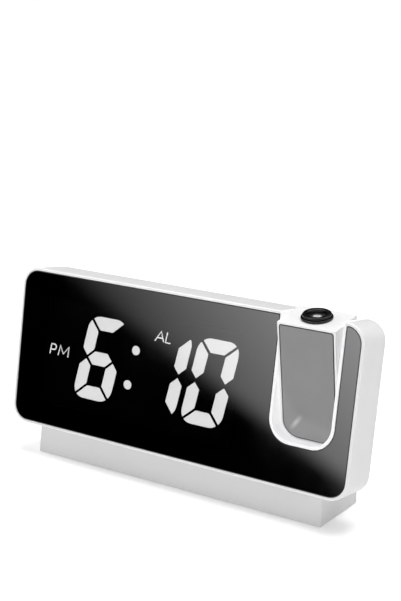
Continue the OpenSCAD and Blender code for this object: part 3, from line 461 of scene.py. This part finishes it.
def plate_film(name):
    """Grey satin mirror of the arm's plate, with a painted reflection streak low on its left side.
    """
    look = bpy.context.scene.clock_mirror
    made = Finish(name, metallic=PLATE_METAL)
    right, _, up = made.turned(node_box("arm_mirror", ARM_AXES)[0] + PAINTED_STREAK_AT, ARM_AXES)
    across = right * math.cos(PAINTED_STREAK_TURN) - up * math.sin(PAINTED_STREAK_TURN)
    along = right * math.sin(PAINTED_STREAK_TURN) + up * math.cos(PAINTED_STREAK_TURN)
    # Painted reflection: a light streak in the base colour, low on the plate's left side
    painted_streak = across.within(0.0, PAINTED_STREAK_WIDTH) * along.within(0.0, PAINTED_STREAK_LENGTH)
    smudge = made.noise(12 * MM, detail=4, roughness=0.6)
    smudges_and_painted_streak = smudge * SMUDGE_LIGHT + painted_streak * PAINTED_STREAK_LIGHT
    made.set(
        base_color=made.blend(smudges_and_painted_streak, grey(look.plate), grey(1.0)),
        roughness=smudge.steps(0.35, 0.75, 0.3, 0.36))
    return made.material


def mirror_border(name):
    """Dark print and ground edge round a mirror."""
    made = Finish(name)
    made.set(
        base_color=made.blend(made.noise(1 * MM), grey(0.02), grey(0.035)),
        roughness=made.noise(0.6 * MM).spread(0.25, 0.4))
    return made.material


def clear_back(name):
    """Back of the one-way mirror, which light passes."""
    return Finish(name, alpha=0.0, roughness=0.1).material


def lit_guide(name, strength):
    """Light guide, lit from behind and a touch uneven."""
    lit = Vector(bpy.context.scene.clock_display.lit)
    made = Finish(name, base_color=grey(0.3), roughness=0.5, emission_strength=strength)
    made.set(emission_color=made.blend(made.noise(6 * MM), lit * 0.98, lit))
    return made.material


def unlit_black(name):
    """Flocked black round the lit guides, which throws back almost no light."""
    made = Finish(name, specular_ior_level=0.05)
    made.set(
        base_color=made.blend(made.noise(2 * MM), grey(0.001), grey(0.002)),
        roughness=made.noise(0.6 * MM).spread(0.8, 0.9))
    return made.material


def steel(name, base=0.62, roughness=0.28, grain=0.4 * MM):
    """Plated steel with fine tool marks."""
    made = Finish(name, metallic=1.0)
    marks = made.noise(grain, detail=3, roughness=0.7)
    made.set(
        base_color=made.blend(
            made.noise(4 * MM, detail=3), grey(base * 0.93), (base, base, base * 1.02)),
        roughness=marks.spread(roughness - 0.07, roughness + 0.1),
        normal=made.bump(marks, depth=0.002 * MM, strength=0.5))
    return made.material


def brass(name):
    """Bright brass with a little tarnish."""
    made = Finish(name, metallic=1.0)
    tarnish = made.noise(3 * MM, detail=4, roughness=0.6)
    made.set(
        base_color=made.blend(tarnish.steps(0.4, 0.7), (0.78, 0.56, 0.22), (0.55, 0.36, 0.13)),
        roughness=tarnish.spread(0.2, 0.38))
    return made.material


def rubber(name):
    """Soft black rubber with a dusty, matt skin."""
    made = Finish(name)
    dust = made.noise(1.5 * MM, detail=4, roughness=0.7)
    made.set(
        base_color=made.blend(dust.steps(0.4, 0.8), grey(0.018), grey(0.045)),
        roughness=dust.spread(0.7, 0.85),
        normal=made.bump(made.noise(0.3 * MM), depth=0.01 * MM, strength=0.6))
    return made.material


# Copper tracks: how far apart they run each way, how far they wander, and their edge
TRACKS_ACROSS = 1.6 * MM
TRACKS_UP = 2.3 * MM
TRACK_WANDER = 4 * MM
TRACK_EDGE = 0.14 * MM, 0.2 * MM
# Round pads: the cell that each lies in, and their edge as a share of it
PAD_CELL = 3.4 * MM
PAD_EDGE = 0.16, 0.19


def circuit_board(name, axes):
    """Green solder mask over copper tracks, with round pads and a woven core."""
    made = Finish(name)
    x, _, z = made.turned(Vector((0, 0, 0)), axes)
    wander = made.noise(12 * MM, detail=1) * TRACK_WANDER
    track = (x + wander).repeat(TRACKS_ACROSS).least((z + wander).repeat(TRACKS_UP))
    copper = track.within(*TRACK_EDGE)
    pad = made.cells(PAD_CELL).within(*PAD_EDGE)
    mask = made.blend(copper, (0.008, 0.075, 0.03), (0.02, 0.15, 0.06))
    weave = made.noise(0.6 * MM, detail=1)
    made.set(
        base_color=made.blend(pad, mask, (0.72, 0.7, 0.66)),
        metallic=pad,
        roughness=pad.steps(0.0, 1.0, 0.32, 0.25),
        normal=made.bump(copper.most(pad) + weave * 0.3, depth=0.02 * MM, strength=0.6))
    return made.material


# How far the chip's legs stand out of its body
LEG_REACH = 0.9 * MM


def chip_epoxy(name):
    """Dark moulded epoxy, with tin on the legs that stand out at its sides."""
    middle, reach = middle_and_reach(*node_box("controller_chip"))
    made = Finish(name)
    x, _, z = made.turned(middle, CASE_AXES)
    leg = abs(x).most(abs(z)) > reach.x - LEG_REACH
    made.set(
        base_color=made.blend(leg, grey(0.022), grey(0.7)),
        metallic=leg,
        roughness=leg.steps(0.0, 1.0, 0.62, 0.28),
        normal=made.bump(made.noise(0.15 * MM), depth=0.006 * MM, strength=0.7))
    return made.material


def cable_sleeve(name):
    """Black sleeve with a light sheen."""
    made = Finish(name)
    made.set(
        base_color=made.blend(made.noise(4 * MM), grey(0.015), grey(0.03)),
        roughness=made.noise(2 * MM, detail=3).spread(0.38, 0.5))
    return made.material


def lens_glass(name, tint=(1.0, 1.0, 1.0)):
    """Polished lens with a reflecting coating."""
    made = Finish(name, ior=1.52, transmission_weight=1.0, coat_weight=1.0, coat_ior=3.0)
    made.set(
        base_color=made.blend(made.noise(4 * MM, detail=1), tint, Vector(tint) * 0.97),
        roughness=made.noise(2 * MM).steps(0.4, 0.8, 0.0, 0.03))
    return made.material


def red_led(name):
    """Red lamp with its clear dome on a white body."""
    made = Finish(name)
    made.set(
        base_color=made.blend(made.noise(2 * MM), (0.55, 0.01, 0.012), (0.7, 0.02, 0.02)),
        roughness=made.noise(1 * MM).spread(0.1, 0.2))
    return made.material


# ---- Shapes ------------------------------------------------------------------------------------


def merged(node):
    """A bmesh of a node, with its loose triangles merged into whole faces."""
    bm = bmesh.new()
    bm.from_mesh(frame["nodes"][node].data)
    bmesh.ops.remove_doubles(bm, verts=bm.verts, dist=MERGE_DISTANCE)
    bmesh.ops.dissolve_limit(
        bm, angle_limit=FLAT_ANGLE, use_dissolve_boundaries=False, verts=bm.verts,
        edges=bm.edges, delimit={"NORMAL"})
    return bm


def chains(edges):
    """Groups of edges that hang together."""
    left = dict.fromkeys(edges)
    groups = []
    while left:
        group = [next(iter(left))]
        del left[group[0]]
        for edge in group:
            for near in (e for v in edge.verts for e in v.link_edges if e in left):
                del left[near]
                group.append(near)
        groups.append(group)
    return groups


def soften(bm, radius, segments=2, among=None):
    """Rounds the outward sharp edges, or those of them whose faces are all among some."""
    sharp = [
        e for e in bm.edges
        if len(e.link_faces) == 2 and e.is_convex and e.calc_face_angle() > SHARP_ANGLE
        and (among is None or among.issuperset(e.link_faces))]
    for chain in chains(sharp):
        bmesh.ops.bevel(
            bm, geom=chain, offset=radius, offset_type="OFFSET", segments=segments, profile=0.5,
            affect="EDGES", clamp_overlap=True, material=-1)
    bmesh.ops.dissolve_degenerate(bm, dist=SLIVER, edges=bm.edges)


def outermost(bm):
    """The faces that nothing of the shape lies in front of."""
    bm.normal_update()
    return {
        f for f in bm.faces
        if max(f.normal.dot(v.co - f.verts[0].co) for v in bm.verts) < OUTER_TOLERANCE}


def facing(bm, direction, limit=FACING):
    """The faces of a bmesh that look in a direction."""
    bm.normal_update()
    return [f for f in bm.faces if f.normal.dot(direction) > limit]


def linked(name, data):
    """A new object in the scene."""
    made = bpy.data.objects.new(name, data)
    bpy.context.scene.collection.objects.link(made)
    return made


def mesh_from(name, bm, finishes):
    """A mesh with finishes, made from a bmesh that isn't needed any more."""
    mesh = bpy.data.meshes.new(name)
    bm.to_mesh(mesh)
    bm.free()
    for finish in finishes:
        mesh.materials.append(finish)
    return mesh


def piece(name, bm, body, finishes, stands_for=()):
    """Makes a smooth-shaded object that rides on a body and may stand for nodes."""
    mesh = mesh_from(name, bm, finishes)
    mesh.shade_smooth()
    mesh.set_sharp_from_angle(angle=SHARP_ANGLE)
    made = linked(name, mesh)
    made.modifiers.new("flat_faces", "WEIGHTED_NORMAL").keep_sharp = True
    if stands_for:
        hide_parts(*stands_for)
    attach(made, body)


def soft_copy(node, name, radius, body, finish, segments=2, outer=None):
    """A piece with a node's own shape and rounded edges, the outer ones more if wanted."""
    bm = merged(node)
    if outer:
        soften(bm, outer, OUTER_SEGMENTS, outermost(bm))
    soften(bm, radius, segments)
    piece(name, bm, body, [finish], [node])


def white_copy(node, name, finish, body="case", outer=None):
    """A soft copy of a white moulding, with the small edges that all of them have."""
    radius = bpy.context.scene.clock_plastic.small_edge
    soft_copy(node, name, radius, body, finish, outer=outer)


def dress(finish, *nodes):
    """Gives nodes that keep their own shape a finish."""
    for node in nodes:
        mesh = frame["nodes"][node].data
        mesh.materials.clear()
        mesh.materials.append(finish)


# ---- Operators ---------------------------------------------------------------------------------


class CLOCK_OT_case(bpy.types.Operator):
    """Finish the front housing, the rear cover and the cradle of the arm"""

    bl_idname = "clock.case"
    bl_label = "Case"

    def execute(self, context):
        look = context.scene.clock_plastic
        # The housing gets painted shade round the display
        white_copy("front_housing", "housing_shell",
                   white_plastic("housing_white", painted=painted_shade_box()), outer=look.case_edge)
        white_copy("rear_cover", "cover_shell", white_plastic("cover_white"))
        # The cradle gets painted light: a brighter white tone and a glow behind its rim
        rim = node_box("arm_cradle")[0]
        white_copy("arm_cradle", "cradle_liner",
                   white_plastic("cradle_white", look.cradle_painted_light_tone, painted_glow_from=rim))
        return {"FINISHED"}


# The finishes of a mirror's faces, in this order
MIRROR_FRONT, MIRROR_BORDER, MIRROR_BACK = range(3)


class CLOCK_OT_mirror(bpy.types.Operator):
    """Make the one-way mirror with its printed border"""

    bl_idname = "clock.mirror"
    bl_label = "Mirror"

    def execute(self, context):
        look = context.scene.clock_mirror
        bm = merged("mirror_panel")
        border_and_edge(bm, FORWARD, look.border, look.edge)
        back = facing(bm, -FORWARD)
        for vert in {v for f in back for v in f.verts}:
            vert.co += FORWARD * look.back_gap
        for face in back:
            face.material_index = MIRROR_BACK
        finishes = [
            face_film("face_mirror"), mirror_border("mirror_border"), clear_back("mirror_back")]
        piece("face_mirror", bm, "case", finishes, ["mirror_panel"])
        return {"FINISHED"}


def border_and_edge(bm, forward, border, edge):
    """Insets the mirror's front by its printed border, and chamfers the edge outside it."""
    front = facing(bm, forward)
    rim = [e for f in front for e in f.edges if sum(g in front for g in e.link_faces) == 1]
    for face in bm.faces:
        face.material_index = MIRROR_BORDER
    bevelled = bmesh.ops.bevel(
        bm, geom=rim, offset=edge, offset_type="OFFSET", segments=2, profile=0.5,
        affect="EDGES", clamp_overlap=False, material=MIRROR_BORDER)
    front = [f for f in facing(bm, forward, STRAIGHT) if f not in bevelled["faces"]]
    inset = bmesh.ops.inset_region(
        bm, faces=front, thickness=border - edge, use_even_offset=True, use_boundary=True)
    for face in facing(bm, forward, STRAIGHT):
        outside = face in inset["faces"] or face in bevelled["faces"]
        face.material_index = MIRROR_BORDER if outside else MIRROR_FRONT


class CLOCK_OT_display(bpy.types.Operator):
    """Light the segments and draw the small marks behind the mirror"""

    bl_idname = "clock.display"
    bl_label = "Display"

    def execute(self, context):
        look = context.scene.clock_display
        dress(lit_guide("lit_segment", look.strength), "lit_segments")
        dress(unlit_black("reflector_black"), "segment_reflector")
        piece("mark_filling", mark_filling(look.mark_stroke), "case",
              [unlit_black("mark_black")])
        piece("mark_letters", thickened(letter_strokes(look.mark_stroke)), "case",
              [lit_guide("lit_mark", look.mark_strength)], ["indicator_guides"])
        return {"FINISHED"}


# Strokes of each letter, as runs of points in a cell of width and height 1
BOWL_POINTS = 10
BOWL = [
    (0.42 + 0.36 * math.sin(math.pi * i / BOWL_POINTS),
     0.735 + 0.265 * math.cos(math.pi * i / BOWL_POINTS)) for i in range(BOWL_POINTS + 1)]
LETTERS = {
    "P": [[(0.0, 0.0), (0.0, 1.0), *BOWL, (0.0, 0.47)]],
    "M": [[(0.0, 0.0), (0.06, 1.0), (0.5, 0.22), (0.94, 1.0), (1.0, 0.0)]],
    "A": [[(0.0, 0.0), (0.5, 1.0), (1.0, 0.0)], [(0.17, 0.34), (0.83, 0.34)]],
    "L": [[(0.0, 1.0), (0.0, 0.0), (0.8, 0.0)]],
}
# Each mark's height, its shift from its window's middle, and its letters with their places and
# widths as shares of the height
MARKS = [
    (5.0 * MM, -0.35 * MM, [("P", 0.0, 0.8), ("M", 1.02, 1.2)]),
    (4.8 * MM, 0.15 * MM, [("A", 0.0, 1.0), ("L", 1.22, 0.7)]),
]
MARK_SLANT = math.tan(math.radians(8))
FILLING_EDGE = 0.1 * MM


def mark_boxes():
    """The two mark windows along the case's axes, from left to right."""
    vertices = frame["nodes"]["indicator_guides"].data.vertices
    middle, _ = middle_and_reach(*node_box("indicator_guides"))
    left = [v for v in vertices if v.co.x < middle.x]
    right = [v for v in vertices if v.co.x >= middle.x]
    return [box_of(side, CASE_AXES) for side in (left, right)]


def mark_filling(stroke):
    """Black blocks that fill the mark windows up to the middle of the letters' strokes."""
    bm = bmesh.new()
    for low, high in mark_boxes():
        low.y += stroke / 2
        middle, reach = middle_and_reach(low, high)
        block = bmesh.ops.create_cube(bm, size=2)
        bmesh.ops.scale(bm, verts=block["verts"], vec=reach)
        bmesh.ops.translate(bm, verts=block["verts"], vec=middle)
    bmesh.ops.transform(bm, matrix=CASE_AXES.transposed().to_4x4(), verts=bm.verts)
    soften(bm, FILLING_EDGE)
    return bm


def letter_strokes(stroke):
    """A curve of the letters' strokes, in the front of each mark window."""
    strokes = bpy.data.curves.new("mark_strokes", "CURVE")
    strokes.dimensions = "3D"
    strokes.bevel_depth = stroke / 2
    strokes.bevel_resolution = 3
    strokes.use_fill_caps = True
    for (low, high), (height, shift, letters) in zip(mark_boxes(), MARKS):
        width = letters[-1][1] + letters[-1][2]
        corner = Vector((
            (low.x + high.x) / 2 + shift - width * height / 2,
            low.y + stroke / 2,
            (low.z + high.z) / 2 - height / 2))
        for letter, start, wide in letters:
            for run in LETTERS[letter]:
                spline = strokes.splines.new("POLY")
                spline.points.add(len(run) - 1)
                for point, (u, v) in zip(spline.points, run):
                    across = (start + u * wide + (v - 0.5) * MARK_SLANT) * height
                    local = corner + Vector((across, 0, v * height))
                    point.co = (*(CASE_AXES.transposed() @ local), 1)
    return strokes


def thickened(curve):
    """A bmesh of a curve with its thickness."""
    drawn = linked(curve.name, curve)
    bpy.context.view_layer.update()
    bm = bmesh.new()
    bm.from_mesh(drawn.evaluated_get(bpy.context.evaluated_depsgraph_get()).to_mesh())
    bpy.data.objects.remove(drawn)
    bmesh.ops.remove_doubles(bm, verts=bm.verts, dist=MERGE_DISTANCE)
    bmesh.ops.recalc_face_normals(bm, faces=bm.faces)
    return bm


class CLOCK_OT_plinth(bpy.types.Operator):
    """Finish the plinth, its bottom plate, ballast and feet"""

    bl_idname = "clock.plinth"
    bl_label = "Plinth"

    def execute(self, context):
        look = context.scene.clock_plastic
        # Painted shade: the plinth's white is made darker than the case's
        white = white_plastic("plinth_white", look.plinth_painted_shade)
        white_copy("base_shell", "plinth_shell", white, outer=look.base_edge)
        white_copy("base_bottom", "plinth_bottom", white)
        dress(rubber("foot_rubber"), "rubber_feet")
        dress(steel("ballast_steel", base=0.4, roughness=0.45, grain=1 * MM), "ballast_plate")
        return {"FINISHED"}


class CLOCK_OT_arm(bpy.types.Operator):
    """Finish the projector arm, its back cover and its mirror plate"""

    bl_idname = "clock.arm"
    bl_label = "Arm"

    def execute(self, context):
        look = context.scene.clock_plastic
        mirror = context.scene.clock_mirror
        white = white_plastic("arm_white")
        white_copy("arm_housing", "arm_shell", white, "arm", look.arm_edge)
        white_copy("arm_back_cover", "arm_cover", white, "arm")
        bm = merged("arm_mirror")
        border_and_edge(bm, -Vector(ARM_AXES[1]), mirror.border, mirror.edge)
        piece("arm_plate", bm, "arm",
              [plate_film("arm_plate"), mirror_border("plate_border")], ["arm_mirror"])
        return {"FINISHED"}


class CLOCK_OT_lens(bpy.types.Operator):
    """Finish the lens ring, the glass and the optics in the arm"""

    bl_idname = "clock.lens"
    bl_label = "Lens"

    def execute(self, context):
        look = context.scene.clock_plastic
        gloss = black_plastic(
            "ring_gloss", roughness=0.12, base=0.004, grain=0.5 * MM, depth=0.001 * MM)
        soft_copy("lens_bezel", "lens_flange", look.flange_edge, "arm", gloss,
                  segments=3)
        soft_copy("focus_ring", "focus_knob", look.ring_edge, "focus_ring", gloss,
                  segments=3)
        dress(black_plastic("optics_black", roughness=0.55), "lens_cell", "optics_tube")
        dress(lens_glass("lens_glass"), "projection_lens", "condenser_lens")
        dress(lens_glass("slide_glass", tint=(0.55, 0.6, 0.62)), "lcd_slide")
        dress(red_led("red_lamp"), "projector_led")
        return {"FINISHED"}


BUTTONS = ("mode", "alarm", "up", "down", "light", "projector")


class CLOCK_OT_buttons(bpy.types.Operator):
    """Finish the push buttons on the back"""

    bl_idname = "clock.buttons"
    bl_label = "Buttons"

    def execute(self, context):
        look = context.scene.clock_plastic
        white = white_plastic("button_white", tone=0.96)
        for name in BUTTONS:
            soft_copy(f"{name}_button", f"{name}_cap", look.button_edge, f"{name}_button",
                      white, segments=3)
        return {"FINISHED"}


class CLOCK_OT_power(bpy.types.Operator):
    """Finish the battery cap, the backup cell and the power socket"""

    bl_idname = "clock.power"
    bl_label = "Battery and power"

    def execute(self, context):
        white_copy("battery_cap", "battery_lid", white_plastic("lid_white", tone=0.97),
                   "battery_cap")
        dress(steel("cell_steel", base=0.66, roughness=0.24, grain=0.8 * MM), "coin_cell")
        dress(steel("socket_steel", base=0.6, roughness=0.22), "usb_socket")
        dress(black_plastic("tongue_black", roughness=0.4), "usb_tongue")
        return {"FINISHED"}


class CLOCK_OT_boards(bpy.types.Operator):
    """Finish the circuit boards and what they carry"""

    bl_idname = "clock.boards"
    bl_label = "Boards"

    def execute(self, context):
        dress(circuit_board("board_mask", CASE_AXES), "main_board", "button_board", "power_board")
        dress(circuit_board("lamp_board_mask", ARM_FLAT_AXES), "projector_board")
        dress(chip_epoxy("chip_epoxy"), "controller_chip")
        dress(steel("can_steel", base=0.68, roughness=0.2), "clock_crystal")
        dress(black_plastic("buzzer_black", roughness=0.45), "buzzer", "tact_switches")
        dress(white_plastic("socket_nylon", tone=0.9), "lead_socket")
        dress(lit_guide("lamp_chips", strength=0.0), "segment_leds")
        dress(brass("contact_brass"), "board_header", "battery_contacts", "friction_washers")
        return {"FINISHED"}


class CLOCK_OT_fittings(bpy.types.Operator):
    """Finish the screws, the pivots and the leads"""

    bl_idname = "clock.fittings"
    bl_label = "Screws, pivots and leads"

    def execute(self, context):
        dress(steel("screw_steel"), "case_screws", "cradle_screws", "base_screws", "stand_screws",
              "board_screws", "arm_screws")
        dress(steel("pivot_steel", base=0.58, roughness=0.2), "left_pivot", "right_pivot",
              "retaining_ring", "stop_cam")
        dress(cable_sleeve("lead_sleeve"), "body_lead", "arm_lead", "power_lead")
        return {"FINISHED"}


class CLOCK_OT_stage(bpy.types.Operator):
    """Set up the floor, the lights, the surroundings and the camera"""

    bl_idname = "clock.stage"
    bl_label = "Stage"

    def execute(self, context):
        look = context.scene.clock_stage
        context.scene.view_settings.view_transform = "Standard"
        lay_floor(look)
        surround(look)
        hang_lights(look)
        place_camera(look)
        return {"FINISHED"}


FLOOR_HALF = 6.0
FLOOR_PATCH = 0.4
# Where the floor's own light grows, out from the clock
GLOW_REACH = 0.25, 1.2


def lay_floor(look):
    """A wide pale floor, which glossy surfaces don't mirror."""
    bm = bmesh.new()
    bmesh.ops.create_grid(bm, x_segments=1, y_segments=1, size=FLOOR_HALF)
    made = Finish("floor_paint", roughness=0.9, emission_strength=1.0)
    x, y, _ = made.split(made.object_space())
    far = (x * x + y * y).power(0.5).steps(*GLOW_REACH)
    made.set(
        base_color=made.blend(made.noise(FLOOR_PATCH), Vector(look.floor) * UNEVEN, look.floor),
        emission_color=made.blend(far, grey(look.glow), grey(1)))
    floor = linked("floor", mesh_from("floor", bm, [made.material]))
    floor.visible_glossy = False


# What the mirrors show, by direction: a soft bright card to the front left, above a slanting edge
CARD_AZIMUTH = math.radians(38.8)
CARD_ELEVATION = math.radians(-1.0)
CARD_SLOPE = 0.496
CARD_EDGE = math.radians(0.35), math.radians(1.7)
CARD_END = math.radians(6), math.radians(20)
# The card's light where the edge begins, how it grows per radian, and its most
CARD_START = -0.0314
CARD_ACROSS = 0.0099 * math.degrees(1)
CARD_UP = 0.0195 * math.degrees(1)
CARD_MOST = 0.26
# The ground below it, and the sky above
GROUND_EDGE = math.radians(-26), math.radians(-11)
GROUND_LIGHT = 0.6
SKY_EDGE = math.radians(35), math.radians(60)
SKY_LIGHT = 2.2


def mirrored_light(made):
    """Strength of what glossy surfaces mirror, by direction."""
    x, y, z = made.split(made.add("ShaderNodeTexCoord").output("Generated"))
    left = x * -1
    elevation = z.maths("ARCSINE", z)
    azimuth = left.maths("ARCTAN2", left, y * -1)
    across = CARD_AZIMUTH - azimuth
    above = elevation - CARD_ELEVATION + across * CARD_SLOPE
    card = (CARD_START + across * CARD_ACROSS + above * CARD_UP).most(0.0).least(CARD_MOST)
    card = card * above.steps(*CARD_EDGE) * azimuth.steps(*CARD_END)
    ground = elevation.steps(*GROUND_EDGE, GROUND_LIGHT, 0.0)
    sky = elevation.steps(*SKY_EDGE, 0.0, SKY_LIGHT)
    return card * (1 / bpy.context.scene.clock_mirror.reflection) + ground + sky


def surround(look):
    """White all round, with separate surroundings for what glossy surfaces mirror."""
    world = bpy.data.worlds.new("studio")
    bpy.context.scene.world = world
    world.use_nodes = True
    world.node_tree.nodes.clear()
    made = Nodes(world.node_tree)
    rays = made.add("ShaderNodeLightPath")
    lighting = made.add("ShaderNodeMixShader", None, {
        0: rays.output("Is Glossy Ray"),
        1: made.background(look.ambient),
        2: made.background(mirrored_light(made))})
    shown = made.add("ShaderNodeMixShader", None, {
        0: rays.output("Is Camera Ray"), 1: lighting, 2: made.background(1.0)})
    made.add("ShaderNodeOutputWorld", None, {"Surface": shown})


# Where the lights hang, by the names of their settings
LIGHTS = {"top": (0.1, 0.15, 1.4), "left": (-1.4, 0.0, 0.4), "front": (0.75, -1.1, 0.8)}
LIGHT_SIZE = 0.9
LIGHT_TARGET = Vector((0, 0, 0.05))


def hang_lights(look):
    """Three large soft lights, which glossy surfaces don't mirror."""
    for name, place in LIGHTS.items():
        data = bpy.data.lights.new(f"{name}_light", "AREA")
        data.energy = getattr(look, name)
        data.size = LIGHT_SIZE
        lamp = linked(data.name, data)
        lamp.location = place
        lamp.rotation_euler = (LIGHT_TARGET - lamp.location).to_track_quat("-Z", "Y").to_euler()
        lamp.visible_glossy = False


# The sensor's longer side stands for the picture's height
SENSOR = 36.0
PICTURE_HEIGHT = 601
CAMERA_NEAR = 0.01
CAMERA_FAR = 50


def place_camera(look):
    """The camera by its place, turn, tilt and roll."""
    data = bpy.data.cameras.new("camera")
    data.sensor_width = SENSOR
    data.lens = look.focal * SENSOR / PICTURE_HEIGHT
    data.clip_start = CAMERA_NEAR
    data.clip_end = CAMERA_FAR
    camera = linked("camera", data)
    turn = (Matrix.Rotation(look.yaw, 3, "Z") @ Matrix.Rotation(math.pi / 2 - look.pitch, 3, "X")
            @ Matrix.Rotation(look.roll, 3, "Z"))
    camera.location = (look.camera_x, look.camera_y, look.camera_z)
    camera.rotation_euler = turn.to_euler()
    bpy.context.scene.camera = camera


# ---- Panel and registration --------------------------------------------------------------------

OPERATORS = (
    CLOCK_OT_case, CLOCK_OT_mirror, CLOCK_OT_display, CLOCK_OT_plinth, CLOCK_OT_arm,
    CLOCK_OT_lens, CLOCK_OT_buttons, CLOCK_OT_power, CLOCK_OT_boards, CLOCK_OT_fittings,
    CLOCK_OT_stage)
GROUPS = {
    "clock_plastic": ClockPlastic,
    "clock_mirror": ClockMirror,
    "clock_display": ClockDisplay,
    "clock_stage": ClockStage,
}


class CLOCK_PT_panel(bpy.types.Panel):
    """Lists the clock's pieces and their sizes and colours"""

    bl_idname = "CLOCK_PT_panel"
    bl_label = "Projection Alarm Clock"
    bl_space_type = "VIEW_3D"
    bl_region_type = "UI"
    bl_category = "Clock"

    def draw(self, context):
        for operator in OPERATORS:
            self.layout.operator(operator.bl_idname)
        for name in GROUPS:
            group = getattr(context.scene, name)
            box = self.layout.box()
            for key in group.bl_rna.properties.keys():
                if key not in ("rna_type", "name"):
                    box.prop(group, key)


def register():
    for cls in (*GROUPS.values(), *OPERATORS, CLOCK_PT_panel):
        bpy.utils.register_class(cls)
    for name, cls in GROUPS.items():
        setattr(bpy.types.Scene, name, bpy.props.PointerProperty(type=cls))


def unregister():
    for name in GROUPS:
        delattr(bpy.types.Scene, name)
    for cls in reversed((*GROUPS.values(), *OPERATORS, CLOCK_PT_panel)):
        bpy.utils.unregister_class(cls)


def main():
    """Registers the add-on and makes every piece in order."""
    register()
    for operator in OPERATORS:
        group, name = operator.bl_idname.split(".")
        getattr(getattr(bpy.ops, group), name)()


if __name__ == "__main__":
    main()
